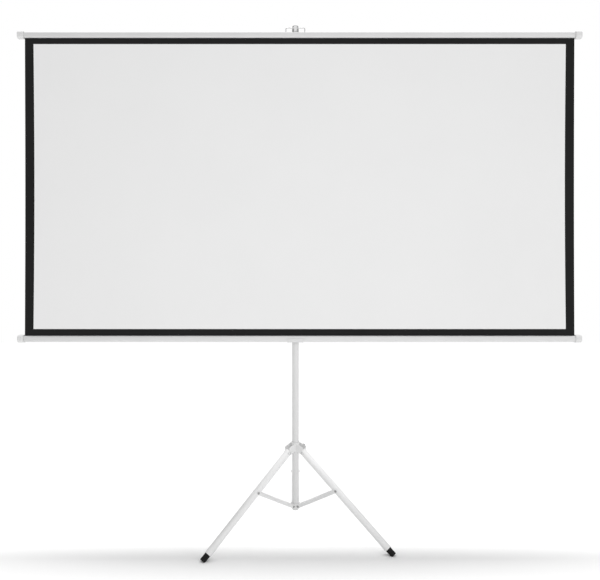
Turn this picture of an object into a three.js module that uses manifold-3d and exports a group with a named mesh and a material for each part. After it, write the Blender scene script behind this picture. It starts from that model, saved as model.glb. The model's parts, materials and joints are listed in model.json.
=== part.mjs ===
// Tripod projection screen: a roll-up screen pulled out of a slim case and hung on a telescopic mast,
// which stands on three folding legs. Millimetres, +Z up, seen from the front along +Y.
// The screen is modelled pulled out and hooked up, with the legs spread.

import * as THREE from 'three';
import { mergeVertices } from 'three/addons/utils/BufferGeometryUtils.js';
import Module from 'manifold-3d';

const wasm = await Module();
wasm.setup();

// Fits between pieces
const SEAT_GAP = 0.3;        // fixed pieces that sit on each other
const SLIDE_GAP = 0.4;       // tubes and sleeves that slide, legs and braces that swing

// Facets of round pieces
const TUBE_SIDES = 24;
const SMALL_SIDES = 12;
const WIRE_SIDES = 8;
const ARC_STEPS = 4;
const BAIL_STEPS = 48;
const LOBE_STEPS = 5;

// Cutters reach this far past the faces that they cut, and points this near each other are one
const CUT_MARGIN = 1;
const MERGE_DISTANCE = 1e-4;

// Picture and its black borders
const PICTURE_WIDTH = 2230;
const PICTURE_HEIGHT = 1193.5;
const SIDE_BORDER = 36;
const TOP_BORDER = 25;
const BOTTOM_BORDER = 27;
const FABRIC_THICKNESS = 0.25;
const SCREEN_SHIFT = 18;     // middle of the screen, to the right of the mast

// Case at the bottom of the screen
const CASE_BOTTOM = 835.5;
const CASE_HEIGHT = 27;
const CASE_DEPTH = 30;
const CASE_WALL = 1.2;
const CASE_CORNER = 9;
const CASE_SLOT = 6;

// Slat at the top of the screen
const SLAT_HEIGHT = 23.5;
const SLAT_DEPTH = 18;
const SLAT_WALL = 1.2;
const SLAT_CORNER = 6;
const SLAT_SLOT = 2.4;
const HEM_ROD_RADIUS = 3.5;

// End caps of the slat and the case
const BAR_MARGIN = 3;        // bar showing beyond each edge of the fabric
const CAP_OVERLAP = 14;      // bar inside the cap
const CAP_END = 13;          // solid end of the cap
const SLAT_CAP_WALL = 3.4;
const CASE_CAP_WALL = 2.2;

// Roller in the case
const ROLLER_RADIUS = 6.35;
const ROLLER_WALL = 1;
const ROLLER_END_GAP = 8;
const WRAPS_THICKNESS = 0.5;
const SPINDLE_RADIUS = 2.5;
const SPINDLE_LENGTH = 420;
const IDLER_LENGTH = 46;
const PLUG_LENGTH = 22;
const PLUG_FLANGE = 2;
const SPRING_WALL = 1.3;
const SPRING_LENGTH = 340;

// Mast
const MAST_RADIUS = 14;
const MAST_WALL = 1.4;
const MAST_BOTTOM = 122;
const MAST_TOP = 1190;
const MAST_OVERLAP = 110;    // upper tube inside the lower tube
const UPPER_WALL = 1.2;
const PLUG_HEAD = 5;
const PLUG_SHANK = 18;

// Clamp at the top of the lower tube
const CLAMP_RADIUS = 20;
const CLAMP_BELOW = 24;
const CLAMP_ABOVE = 18;

// Clamp knobs, with their studs and bosses
const BOSS_RADIUS = 8;
const BOSS_REACH = 12;
const STUD_RADIUS = 3;
const STUD_DEPTH = 8;        // stud inside the knob
const KNOB_RADIUS = 14;
const KNOB_LOBES = 6;
const KNOB_LOBE_DEPTH = 1.2;
const KNOB_HEIGHT = 14;
const BACK = 90;
const HUB_KNOB_AZIMUTH = 32.3;  // between the right leg and the rear leg
const HUB_KNOB_LIFT = 14;       // above the leg pivots

// Carriage that carries the case on the mast
const SLEEVE_WALL = 4.6;
const CARRIAGE_HEIGHT = 50;
const CARRIAGE_LIFT = 1;     // underside above the bottom of the case
const PAD_WIDTH = 44;
const SADDLE_WIDTH = 66;
const SADDLE_SHEET = 1.6;
const SADDLE_LIP = 17;
const BOLT_RADIUS = 3;
const BOLT_HEAD_RADIUS = 6;
const BOLT_HEAD = 3.5;
const BOLT_BELOW_TOP = 12;
const STOP_HEAD_RADIUS = 4;
const STOP_HEAD = 3;
const STOP_ANGLE = 240;

// Hook on the mast and bail on the slat
const HOOK_CAP_HEIGHT = 35;
const HOOK_CAP_WALL = 1.5;
const HOOK_CAP_BORE = 20;
const HOOK_CAP_ROUND = 8;
const HOOK_LIFT = 10;        // underside of the cap above the slat
const HOOK_WIDTH = 12;
const HOOK_FLOOR = 11;
const HOOK_TIP = 3.5;
const HOOK_TIP_RISE = 8;
const WIRE_RADIUS = 1.75;
const BAIL_WIDTH = 83;
const BAIL_RISE = 25;
const BAIL_BEND = 6;
const BAIL_FOOT = 16;
const CLIP_LENGTH = 14;
const CLIP_HEIGHT = 14;
const CLIP_COVER = 1.8;

// Legs and hub
const LEG_NAMES = ['left', 'right', 'rear'];
const LEG_AZIMUTHS = [214.2, 334.2, 90.4];
const LEG_RADIUS = 14;
const LEG_WALL = 1.2;
const LEG_SPREAD = 47.4;     // degrees from the vertical
const LEG_ABOVE_PIVOT = 10;
const HUB_PIVOT_HEIGHT = 365;
const HUB_WALL = 3;
const HUB_ABOVE = 42;
const HUB_BASE = 6;          // underside of the sleeve above the leg pivots
const EAR_THICKNESS = 3;
const EAR_NOSE = 7;
const EAR_ROOT = 4;          // inner end of an ear, from the middle of the mast
const EAR_ROOT_RISE = 11;    // lower edge of an ear at the mast, above the leg pivot
const EAR_WAIST_RISE = 9.5;  // notch above the nose of an ear, above the leg pivot
const EAR_CORNER_OUT = 2.5;  // corner of an ear outside the leg pivot
const EAR_CORNER_RISE = 23.5; // corner of an ear above the leg pivot
const LEG_PIN_RADIUS = 3;
const PIN_HEAD_STEP = 2.4;
const PIN_HEAD = 2;
const FOOT_LENGTH = 31;
const FOOT_RADIUS = 12;
const FOOT_LIFT = 2.5;       // middle of the foot's end above the floor
const FOOT_SHANK = 20;

// Braces and the bracket at the foot of the mast
const BRACE_PIVOT = 205;     // along the leg from its pivot
const BRACE_WIDTH = 14;
const BRACE_SHEET = 2;
const BRACE_WEB = 1.8;
const WEB_FROM_BRACKET = 30;
const WEB_FROM_LEG = 90;
const BRACKET_PIVOT_OUT = 5.5;  // brace pivots outside the mast
const BRACKET_PIVOT_RISE = 16;  // brace pivots above the end of the mast
const FOLD_GAP = 0.5;           // folded legs outside the lugs
const BRACKET_WALL = 2.2;
const BRACKET_ABOVE = 8;
const BRACKET_BELOW = 9;
const LUG_RADIUS = 6;
const BRACE_PIN_RADIUS = 2.5;

// Sizes that follow from the ones above
const FABRIC_WIDTH = PICTURE_WIDTH + 2 * SIDE_BORDER;
const BAR_LENGTH = FABRIC_WIDTH + 2 * (BAR_MARGIN + CAP_OVERLAP);
const CASE_MIDDLE = CASE_BOTTOM + CASE_HEIGHT / 2;
const SLAT_BOTTOM = CASE_BOTTOM + CASE_HEIGHT + BOTTOM_BORDER + PICTURE_HEIGHT + TOP_BORDER;
const SLAT_MIDDLE = SLAT_BOTTOM + SLAT_HEIGHT / 2;
const SLAT_TOP = SLAT_BOTTOM + SLAT_HEIGHT;
const SLEEVE_BORE = MAST_RADIUS + SLIDE_GAP;
const SLEEVE_RADIUS = SLEEVE_BORE + SLEEVE_WALL;
const SADDLE_BACK = -SLEEVE_RADIUS - SEAT_GAP;
const CASE_BACK = SADDLE_BACK - SADDLE_SHEET - SEAT_GAP;
const CASE_Y = CASE_BACK - CASE_DEPTH / 2;
const WRAPS_BORE = ROLLER_RADIUS + SEAT_GAP;
const WRAPS_RADIUS = WRAPS_BORE + WRAPS_THICKNESS;
const FABRIC_Y = CASE_Y - WRAPS_RADIUS - SEAT_GAP - FABRIC_THICKNESS / 2;
const MAST_BORE = MAST_RADIUS - MAST_WALL;
const UPPER_RADIUS = MAST_BORE - SLIDE_GAP;
const UPPER_BORE = UPPER_RADIUS - UPPER_WALL;
const CARRIAGE_BOTTOM = CASE_BOTTOM + CARRIAGE_LIFT;
const BOLT_HEIGHT = CARRIAGE_BOTTOM + CARRIAGE_HEIGHT - BOLT_BELOW_TOP;
const HOOK_BOTTOM = SLAT_TOP + HOOK_LIFT;
const WIRE_Y = FABRIC_Y + SLAT_DEPTH / 2 + SEAT_GAP + WIRE_RADIUS;
const WIRE_HEIGHT = SLAT_TOP + BAIL_RISE - WIRE_RADIUS;
const SPREAD = THREE.MathUtils.degToRad(LEG_SPREAD);
const CHEEK = LEG_RADIUS + SLIDE_GAP;
const HUB_RADIUS = Math.max(SLEEVE_BORE + HUB_WALL, CHEEK + EAR_THICKNESS);
const BRACKET_PIVOT_REACH = MAST_RADIUS + BRACKET_PIVOT_OUT;
const BRACKET_PIVOT_HEIGHT = MAST_BOTTOM + BRACKET_PIVOT_RISE;
const HUB_PIVOT_REACH = BRACKET_PIVOT_REACH + LUG_RADIUS + FOLD_GAP + LEG_RADIUS;
const BRACE_REACH = HUB_PIVOT_REACH + BRACE_PIVOT * Math.sin(SPREAD) - BRACKET_PIVOT_REACH;
const BRACE_RISE = HUB_PIVOT_HEIGHT - BRACE_PIVOT * Math.cos(SPREAD) - BRACKET_PIVOT_HEIGHT;
const BRACE_LENGTH = Math.hypot(BRACE_REACH, BRACE_RISE);
const BRACE_TILT = Math.atan2(BRACE_RISE, BRACE_REACH);
const FOOT_END = (HUB_PIVOT_HEIGHT - FOOT_LIFT) / Math.cos(SPREAD);
const LEG_END = FOOT_END - FOOT_LENGTH - SEAT_GAP;

// Finishes
const greyPaint = new THREE.MeshStandardMaterial({ color: 0xd6d6d6, roughness: 0.45, metalness: 0.2 });
const whitePaint = new THREE.MeshStandardMaterial({ color: 0xdcdcdc, roughness: 0.5, metalness: 0.1 });
const zincSteel = new THREE.MeshStandardMaterial({ color: 0xb4b4b2, roughness: 0.35, metalness: 0.9 });
const greyPlastic = new THREE.MeshStandardMaterial({ color: 0xcdcdcd, roughness: 0.55, metalness: 0 });
const blackPlastic = new THREE.MeshStandardMaterial({ color: 0x1a1a1a, roughness: 0.6, metalness: 0 });
const blackRubber = new THREE.MeshStandardMaterial({ color: 0x101010, roughness: 0.85, metalness: 0 });
const mattWhite = new THREE.MeshStandardMaterial({ color: 0xe8e8e8, roughness: 0.95, metalness: 0 });
const springSteel = new THREE.MeshStandardMaterial({ color: 0x6b6b6b, roughness: 0.4, metalness: 0.9 });

// Solids: a closed geometry becomes a solid that can be joined and cut, and comes back as a geometry.
function solid(geometry) {
  const bare = geometry.clone();
  bare.deleteAttribute('normal');
  bare.deleteAttribute('uv');
  const merged = mergeVertices(bare, MERGE_DISTANCE);
  const index = merged.index.array;
  const triangles = [];
  for (let i = 0; i < index.length; i += 3) {
    const [a, b, c] = [index[i], index[i + 1], index[i + 2]];
    if (a !== b && b !== c && c !== a) {
      triangles.push(a, b, c);
    }
  }
  return new wasm.Manifold(new wasm.Mesh({
    numProp: 3,
    vertProperties: new Float32Array(merged.attributes.position.array),
    triVerts: new Uint32Array(triangles),
  }));
}

function surface(body) {
  const data = body.getMesh();
  const geometry = new THREE.BufferGeometry();
  geometry.setAttribute('position', new THREE.BufferAttribute(new Float32Array(data.vertProperties), 3));
  geometry.setIndex(new THREE.BufferAttribute(new Uint32Array(data.triVerts), 1));
  geometry.computeVertexNormals();
  return geometry;
}

function piece(name, body, material) {
  const mesh = new THREE.Mesh(surface(body), material);
  mesh.name = name;
  return mesh;
}

// A profile of [radius, height] points turned about Z. A profile off the axis is closed into a ring.
function turned(profile, sides = TUBE_SIDES) {
  const points = profile.map(([radius, height]) => new THREE.Vector2(radius, height));
  if (profile[0][0] > 0) {
    points.push(points[0].clone());
  }
  return solid(new THREE.LatheGeometry(points, sides).rotateX(Math.PI / 2));
}

function ring(inner, outer, bottom, top, sides = TUBE_SIDES) {
  return turned([[inner, bottom], [outer, bottom], [outer, top], [inner, top]], sides);
}

function rod(radius, bottom, top, sides = SMALL_SIDES) {
  return turned([[0, bottom], [radius, bottom], [radius, top], [0, top]], sides);
}

// A solid turned about Z laid along X, along Y, or out along a level direction at an azimuth.
function alongX(body) {
  return body.rotate([0, 90, 0]);
}

function alongY(body) {
  return body.rotate([-90, 0, 0]);
}

function outwards(body, azimuth) {
  return alongX(body).rotate([0, 0, azimuth]);
}

function box(from, to) {
  const size = to.map((value, axis) => value - from[axis]);
  const middle = to.map((value, axis) => (value + from[axis]) / 2);
  return solid(new THREE.BoxGeometry(...size).translate(...middle));
}

// An outline in Y and Z carried along X, and an outline in X and Z given a thickness along Y.
const OUTLINE_YZ = new THREE.Matrix4().makeBasis(
  new THREE.Vector3(0, 1, 0), new THREE.Vector3(0, 0, 1), new THREE.Vector3(1, 0, 0));
const OUTLINE_XZ = new THREE.Matrix4().makeBasis(
  new THREE.Vector3(1, 0, 0), new THREE.Vector3(0, 0, 1), new THREE.Vector3(0, -1, 0));

function extruded(shape, length, basis) {
  const geometry = new THREE.ExtrudeGeometry(shape, {
    depth: length, bevelEnabled: false, curveSegments: ARC_STEPS,
  });
  return solid(geometry.translate(0, 0, -length / 2).applyMatrix4(basis));
}

function roundedBlock(depth, height, corner, length) {
  const shape = new THREE.Shape();
  const [y, z] = [depth / 2 - corner, height / 2 - corner];
  shape.absarc(y, -z, corner, -Math.PI / 2, 0);
  shape.absarc(y, z, corner, 0, Math.PI / 2);
  shape.absarc(-y, z, corner, Math.PI / 2, Math.PI);
  shape.absarc(-y, -z, corner, Math.PI, Math.PI * 1.5);
  return extruded(shape, length, OUTLINE_YZ);
}

// A pin along Y with a flat head at each end; heads start at the given distance from the middle.
function headedPin(radius, headFrom) {
  const headRadius = radius + PIN_HEAD_STEP;
  const headTo = headFrom + PIN_HEAD;
  return alongY(turned([
    [0, -headTo], [headRadius, -headTo], [headRadius, -headFrom], [radius, -headFrom],
    [radius, headFrom], [headRadius, headFrom], [headRadius, headTo], [0, headTo],
  ], SMALL_SIDES));
}

// Clamp knob and stud, made standing on Z with the foot of the boss at zero.
function knobSolids(tubeRadius, leastReach = 0) {
  const bossEnd = Math.max(tubeRadius + SLEEVE_WALL + BOSS_REACH, leastReach);
  const knobFrom = bossEnd + SLIDE_GAP;
  const shape = new THREE.Shape();
  const steps = KNOB_LOBES * LOBE_STEPS;
  for (let i = 0; i < steps; i += 1) {
    const angle = 2 * Math.PI * i / steps;
    const radius = KNOB_RADIUS - KNOB_LOBE_DEPTH * (1 - Math.cos(KNOB_LOBES * angle)) / 2;
    shape.lineTo(radius * Math.cos(angle), radius * Math.sin(angle));
  }
  const head = solid(new THREE.ExtrudeGeometry(shape, { depth: KNOB_HEIGHT, bevelEnabled: false })
    .translate(0, 0, knobFrom));
  const socket = rod(STUD_RADIUS + SEAT_GAP, knobFrom - CUT_MARGIN, knobFrom + STUD_DEPTH + SEAT_GAP);
  return {
    boss: rod(BOSS_RADIUS, tubeRadius + SLEEVE_WALL / 2, bossEnd, TUBE_SIDES),
    hole: rod(STUD_RADIUS + SEAT_GAP, tubeRadius / 2, bossEnd + CUT_MARGIN),
    knob: head.subtract(socket),
    stud: rod(STUD_RADIUS, tubeRadius + SLIDE_GAP, knobFrom + STUD_DEPTH),
  };
}

const screen = new THREE.Group();

// Mast: lower tube, end plug and the clamp that grips the upper tube
const mast = new THREE.Group();
screen.add(mast);
mast.add(piece('mast_tube', ring(MAST_BORE, MAST_RADIUS, MAST_BOTTOM, MAST_TOP), greyPaint));

const plugTop = MAST_BOTTOM - SEAT_GAP;
const plugProfile = [];
for (let i = 0; i <= ARC_STEPS; i += 1) {
  const angle = Math.PI / 2 * i / ARC_STEPS;
  plugProfile.push([MAST_RADIUS * Math.sin(angle), plugTop - PLUG_HEAD * Math.cos(angle)]);
}
plugProfile.push([MAST_BORE - SEAT_GAP, plugTop], [MAST_BORE - SEAT_GAP, plugTop + PLUG_SHANK]);
plugProfile.push([0, plugTop + PLUG_SHANK]);
mast.add(piece('mast_end_plug', turned(plugProfile), greyPlastic));

const clampShelf = MAST_TOP + SEAT_GAP;
const clampKnob = knobSolids(UPPER_RADIUS + SLIDE_GAP);
const clampMiddle = MAST_TOP + CLAMP_ABOVE / 2;
const clampBody = turned([
  [MAST_RADIUS + SEAT_GAP, MAST_TOP - CLAMP_BELOW],
  [CLAMP_RADIUS, MAST_TOP - CLAMP_BELOW],
  [CLAMP_RADIUS, MAST_TOP + CLAMP_ABOVE],
  [UPPER_RADIUS + SLIDE_GAP, MAST_TOP + CLAMP_ABOVE],
  [UPPER_RADIUS + SLIDE_GAP, clampShelf],
  [MAST_RADIUS + SEAT_GAP, clampShelf],
]);
const atClamp = (body) => outwards(body, BACK).translate([0, 0, clampMiddle]);
mast.add(piece('mast_clamp', clampBody.add(atClamp(clampKnob.boss)).subtract(atClamp(clampKnob.hole)),
  greyPlastic));
mast.add(piece('clamp_knob', atClamp(clampKnob.knob), blackPlastic));
mast.add(piece('clamp_stud', atClamp(clampKnob.stud), zincSteel));

// Upper tube of the mast, its end plug and the hook cap
const upperBottom = MAST_TOP - MAST_OVERLAP;
const upperTop = HOOK_BOTTOM + HOOK_CAP_BORE - SEAT_GAP;
mast.add(piece('upper_tube', ring(UPPER_BORE, UPPER_RADIUS, upperBottom, upperTop), greyPaint));
const upperPlugTop = upperBottom - SEAT_GAP;
mast.add(piece('upper_end_plug', turned([
  [0, upperPlugTop - PLUG_HEAD],
  [UPPER_RADIUS, upperPlugTop - PLUG_HEAD],
  [UPPER_RADIUS, upperPlugTop],
  [UPPER_BORE - SEAT_GAP, upperPlugTop],
  [UPPER_BORE - SEAT_GAP, upperPlugTop + PLUG_SHANK],
  [0, upperPlugTop + PLUG_SHANK],
]), blackPlastic));

const hookCapRadius = UPPER_RADIUS + SEAT_GAP + HOOK_CAP_WALL;
const hookTop = HOOK_BOTTOM + HOOK_CAP_HEIGHT;
const capProfile = [[UPPER_RADIUS + SEAT_GAP, HOOK_BOTTOM], [hookCapRadius, HOOK_BOTTOM]];
for (let i = 0; i <= ARC_STEPS; i += 1) {
  const angle = Math.PI / 2 * i / ARC_STEPS;
  capProfile.push([
    hookCapRadius - HOOK_CAP_ROUND * (1 - Math.cos(angle)),
    hookTop - HOOK_CAP_ROUND * (1 - Math.sin(angle)),
  ]);
}
capProfile.push([0, hookTop], [0, HOOK_BOTTOM + HOOK_CAP_BORE]);
capProfile.push([UPPER_RADIUS + SEAT_GAP, HOOK_BOTTOM + HOOK_CAP_BORE]);
const hookShape = new THREE.Shape();
const troughFloor = WIRE_HEIGHT - WIRE_RADIUS - SEAT_GAP;
const hookUnder = troughFloor - HOOK_FLOOR;
const tipBack = WIRE_Y - WIRE_RADIUS - SEAT_GAP;
const tipFront = tipBack - HOOK_TIP;
const hookRoot = -UPPER_RADIUS - SEAT_GAP - HOOK_CAP_WALL / 2;
hookShape.moveTo(hookRoot, hookUnder);
hookShape.lineTo(hookRoot, troughFloor);
hookShape.lineTo(tipBack, troughFloor);
hookShape.lineTo(tipBack, WIRE_HEIGHT + HOOK_TIP_RISE);
hookShape.lineTo(tipFront, WIRE_HEIGHT + HOOK_TIP_RISE);
hookShape.absarc(tipFront + HOOK_TIP, hookUnder + HOOK_TIP, HOOK_TIP, Math.PI, Math.PI * 1.5);
mast.add(piece('hook_cap', turned(capProfile).add(extruded(hookShape, HOOK_WIDTH, OUTLINE_YZ)), greyPlastic));

// Slat, hem rod and fabric
const picture = new THREE.Group();
picture.position.x = SCREEN_SHIFT;
screen.add(picture);
const slatCavity = roundedBlock(SLAT_DEPTH - 2 * SLAT_WALL, SLAT_HEIGHT - 2 * SLAT_WALL,
  SLAT_CORNER - SLAT_WALL, BAR_LENGTH + 2 * CUT_MARGIN);
const slatSlot = box([-BAR_LENGTH, -SLAT_SLOT / 2, -SLAT_HEIGHT], [BAR_LENGTH, SLAT_SLOT / 2, 0]);
const slatBody = roundedBlock(SLAT_DEPTH, SLAT_HEIGHT, SLAT_CORNER, BAR_LENGTH)
  .subtract(slatCavity)
  .subtract(slatSlot)
  .translate([0, FABRIC_Y, SLAT_MIDDLE]);
picture.add(piece('top_slat', slatBody, greyPaint));
const hemRodHeight = SLAT_BOTTOM + SLAT_WALL + SEAT_GAP + HEM_ROD_RADIUS;
picture.add(piece('hem_rod', alongX(rod(HEM_ROD_RADIUS, -FABRIC_WIDTH / 2, FABRIC_WIDTH / 2))
  .translate([0, FABRIC_Y, hemRodHeight]), blackPlastic));
const fabricTop = hemRodHeight - HEM_ROD_RADIUS - SEAT_GAP;
picture.add(piece('screen_fabric', box(
  [-FABRIC_WIDTH / 2, FABRIC_Y - FABRIC_THICKNESS / 2, CASE_MIDDLE],
  [FABRIC_WIDTH / 2, FABRIC_Y + FABRIC_THICKNESS / 2, fabricTop]), mattWhite));

// Case shell and the end caps of both bars
const caseCavity = roundedBlock(CASE_DEPTH - 2 * CASE_WALL, CASE_HEIGHT - 2 * CASE_WALL,
  CASE_CORNER - CASE_WALL, BAR_LENGTH + 2 * CUT_MARGIN);
const slotY = FABRIC_Y - CASE_Y;
const caseSlot = box([-BAR_LENGTH, slotY - CASE_SLOT / 2, 0],
  [BAR_LENGTH, slotY + CASE_SLOT / 2, CASE_HEIGHT]);
picture.add(piece('case_shell', roundedBlock(CASE_DEPTH, CASE_HEIGHT, CASE_CORNER, BAR_LENGTH)
  .subtract(caseCavity)
  .subtract(caseSlot)
  .translate([0, CASE_Y, CASE_MIDDLE]), whitePaint));

const capLength = CAP_OVERLAP + CAP_END;
const axleHole = alongX(rod(SPINDLE_RADIUS + SEAT_GAP, -capLength, CAP_OVERLAP + CAP_END / 2));
function endCap(depth, height, corner, wall) {
  const grow = 2 * (SEAT_GAP + wall);
  const outside = roundedBlock(depth + grow, height + grow, corner + SEAT_GAP + wall, capLength)
    .translate([capLength / 2, 0, 0]);
  const pocket = roundedBlock(depth + 2 * SEAT_GAP, height + 2 * SEAT_GAP, corner + SEAT_GAP, capLength)
    .translate([CAP_OVERLAP + SEAT_GAP - capLength / 2, 0, 0]);
  return outside.subtract(pocket);
}
const capStart = BAR_LENGTH / 2 - CAP_OVERLAP;
for (const [side, turn] of [['right', 0], ['left', 180]]) {
  const direction = turn === 0 ? 1 : -1;
  const fitted = (body) => body.rotate([0, 0, turn]).translate([direction * capStart, 0, 0]);
  const slatCap = endCap(SLAT_DEPTH, SLAT_HEIGHT, SLAT_CORNER, SLAT_CAP_WALL);
  picture.add(piece(`slat_cap_${side}`, fitted(slatCap)
    .translate([0, FABRIC_Y, SLAT_MIDDLE]), greyPlastic));
  const caseCap = endCap(CASE_DEPTH, CASE_HEIGHT, CASE_CORNER, CASE_CAP_WALL).subtract(axleHole);
  picture.add(piece(`case_cap_${side}`, fitted(caseCap)
    .translate([0, CASE_Y, CASE_MIDDLE]), greyPlastic));
}

// Spring roller: tube, end plugs, spindle, idler pin, spring and the last wraps of fabric
const inCase = (body) => alongX(body).translate([0, CASE_Y, CASE_MIDDLE]);
const rollerEnd = BAR_LENGTH / 2 - ROLLER_END_GAP;
const rollerBore = ROLLER_RADIUS - ROLLER_WALL;
picture.add(piece('roller_tube', inCase(ring(rollerBore, ROLLER_RADIUS, -rollerEnd, rollerEnd)), zincSteel));
picture.add(piece('fabric_wraps',
  inCase(ring(WRAPS_BORE, WRAPS_RADIUS, -FABRIC_WIDTH / 2, FABRIC_WIDTH / 2)), mattWhite));
const axleEnd = capStart + CAP_OVERLAP + CAP_END / 2 - SEAT_GAP;
for (const [side, direction] of [['right', 1], ['left', -1]]) {
  const plug = turned([
    [SPINDLE_RADIUS + SEAT_GAP, rollerEnd - PLUG_LENGTH],
    [rollerBore - SEAT_GAP, rollerEnd - PLUG_LENGTH],
    [rollerBore - SEAT_GAP, rollerEnd + SEAT_GAP],
    [ROLLER_RADIUS, rollerEnd + SEAT_GAP],
    [ROLLER_RADIUS, rollerEnd + SEAT_GAP + PLUG_FLANGE],
    [SPINDLE_RADIUS + SEAT_GAP, rollerEnd + SEAT_GAP + PLUG_FLANGE],
  ]);
  const turn = direction === 1 ? 0 : 180;
  picture.add(piece(`roller_plug_${side}`, inCase(plug.rotate([turn, 0, 0])), blackPlastic));
}
picture.add(piece('idler_pin', inCase(rod(SPINDLE_RADIUS, axleEnd - IDLER_LENGTH, axleEnd)), zincSteel));
picture.add(piece('spring_spindle',
  inCase(rod(SPINDLE_RADIUS, -axleEnd, SPINDLE_LENGTH - axleEnd)), zincSteel));
const springStart = -rollerEnd + PLUG_LENGTH + SEAT_GAP;
const springBore = SPINDLE_RADIUS + SEAT_GAP;
picture.add(piece('roller_spring', inCase(ring(springBore, springBore + SPRING_WALL,
  springStart, springStart + SPRING_LENGTH)), springSteel));

// Bail: a bent wire whose feet lie along the back of the slat under two clips
const bailSide = BAIL_WIDTH / 2 - WIRE_RADIUS;
const bailPath = new THREE.CurvePath();
const corners = [
  [-bailSide - BAIL_FOOT, SLAT_MIDDLE], [-bailSide, SLAT_MIDDLE], [-bailSide, WIRE_HEIGHT],
  [bailSide, WIRE_HEIGHT], [bailSide, SLAT_MIDDLE], [bailSide + BAIL_FOOT, SLAT_MIDDLE],
].map(([x, z]) => new THREE.Vector3(x, WIRE_Y, z));
const towards = (from, to) => from.clone().add(to.clone().sub(from).setLength(BAIL_BEND));
let bailFrom = corners[0];
for (let i = 1; i < corners.length - 1; i += 1) {
  const enter = towards(corners[i], corners[i - 1]);
  const leave = towards(corners[i], corners[i + 1]);
  bailPath.add(new THREE.LineCurve3(bailFrom, enter));
  bailPath.add(new THREE.QuadraticBezierCurve3(enter, corners[i], leave));
  bailFrom = leave;
}
bailPath.add(new THREE.LineCurve3(bailFrom, corners.at(-1)));
const wireSection = new THREE.Shape().absarc(0, 0, WIRE_RADIUS, 0, 2 * Math.PI);
mast.add(piece('bail', solid(new THREE.ExtrudeGeometry(wireSection, {
  extrudePath: bailPath, steps: BAIL_STEPS, curveSegments: WIRE_SIDES / 2, bevelEnabled: false,
})), zincSteel));

const clipStart = bailSide + BAIL_BEND + SEAT_GAP;
const clipY = WIRE_Y - WIRE_RADIUS;
for (const [side, direction] of [['right', 1], ['left', -1]]) {
  const block = box([clipStart, clipY, SLAT_MIDDLE - CLIP_HEIGHT / 2],
    [clipStart + CLIP_LENGTH, WIRE_Y + WIRE_RADIUS + SEAT_GAP + CLIP_COVER, SLAT_MIDDLE + CLIP_HEIGHT / 2]);
  const channel = alongX(rod(WIRE_RADIUS + SEAT_GAP, clipStart - CUT_MARGIN, bailSide + BAIL_FOOT + SEAT_GAP))
    .add(box([clipStart - CUT_MARGIN, clipY - CUT_MARGIN, SLAT_MIDDLE - WIRE_RADIUS - SEAT_GAP],
      [bailSide + BAIL_FOOT + SEAT_GAP, WIRE_Y, SLAT_MIDDLE + WIRE_RADIUS + SEAT_GAP])
      .translate([0, -WIRE_Y, -SLAT_MIDDLE]))
    .translate([0, WIRE_Y, SLAT_MIDDLE]);
  const clip = block.subtract(channel);
  mast.add(piece(`bail_clip_${side}`, direction === 1 ? clip : clip.mirror([1, 0, 0]), zincSteel));
}

// Carriage: sleeve on the mast with a pad, the saddle round the case, its pivot bolt and the clamp knob
const carriageTop = CARRIAGE_BOTTOM + CARRIAGE_HEIGHT;
const carriageKnob = knobSolids(SLEEVE_BORE);
const carriageMiddle = CARRIAGE_BOTTOM + CARRIAGE_HEIGHT / 2;
const atCarriage = (body) => outwards(body, BACK).translate([0, 0, carriageMiddle]);
const boltHole = alongY(rod(BOLT_RADIUS + SEAT_GAP, -CASE_DEPTH, 0))
  .translate([0, -MAST_RADIUS / 2, BOLT_HEIGHT]);
const bore = rod(SLEEVE_BORE, CARRIAGE_BOTTOM - CUT_MARGIN, carriageTop + CUT_MARGIN, TUBE_SIDES);
const sleeve = rod(SLEEVE_RADIUS, CARRIAGE_BOTTOM, carriageTop, TUBE_SIDES)
  .add(box([-PAD_WIDTH / 2, -SLEEVE_RADIUS, CARRIAGE_BOTTOM], [PAD_WIDTH / 2, 0, carriageTop]))
  .add(atCarriage(carriageKnob.boss))
  .subtract(bore)
  .subtract(atCarriage(carriageKnob.hole))
  .subtract(boltHole);
mast.add(piece('carriage_sleeve', sleeve, greyPlastic));
mast.add(piece('carriage_knob', atCarriage(carriageKnob.knob), blackPlastic));
mast.add(piece('carriage_stud', atCarriage(carriageKnob.stud), zincSteel));

const saddleInner = CASE_CORNER + SEAT_GAP;
const saddleOuter = saddleInner + SADDLE_SHEET;
const saddleFloor = CASE_BOTTOM - SEAT_GAP - SADDLE_SHEET;
const saddleFront = CASE_BACK - CASE_DEPTH - SEAT_GAP - SADDLE_SHEET;
const backCentre = SADDLE_BACK - saddleOuter;
const frontCentre = saddleFront + saddleOuter;
const saddleCentre = saddleFloor + saddleOuter;
const saddleShape = new THREE.Shape();
saddleShape.moveTo(SADDLE_BACK, carriageTop);
saddleShape.lineTo(SADDLE_BACK - SADDLE_SHEET, carriageTop);
saddleShape.absarc(backCentre, saddleCentre, saddleInner, 0, -Math.PI / 2, true);
saddleShape.absarc(frontCentre, saddleCentre, saddleInner, -Math.PI / 2, -Math.PI, true);
saddleShape.lineTo(saddleFront + SADDLE_SHEET, saddleFloor + SADDLE_LIP);
saddleShape.lineTo(saddleFront, saddleFloor + SADDLE_LIP);
saddleShape.absarc(frontCentre, saddleCentre, saddleOuter, Math.PI, Math.PI * 1.5);
saddleShape.absarc(backCentre, saddleCentre, saddleOuter, -Math.PI / 2, 0);
const saddle = extruded(saddleShape, SADDLE_WIDTH, OUTLINE_YZ).subtract(boltHole);
mast.add(piece('case_saddle', saddle, whitePaint));

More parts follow.
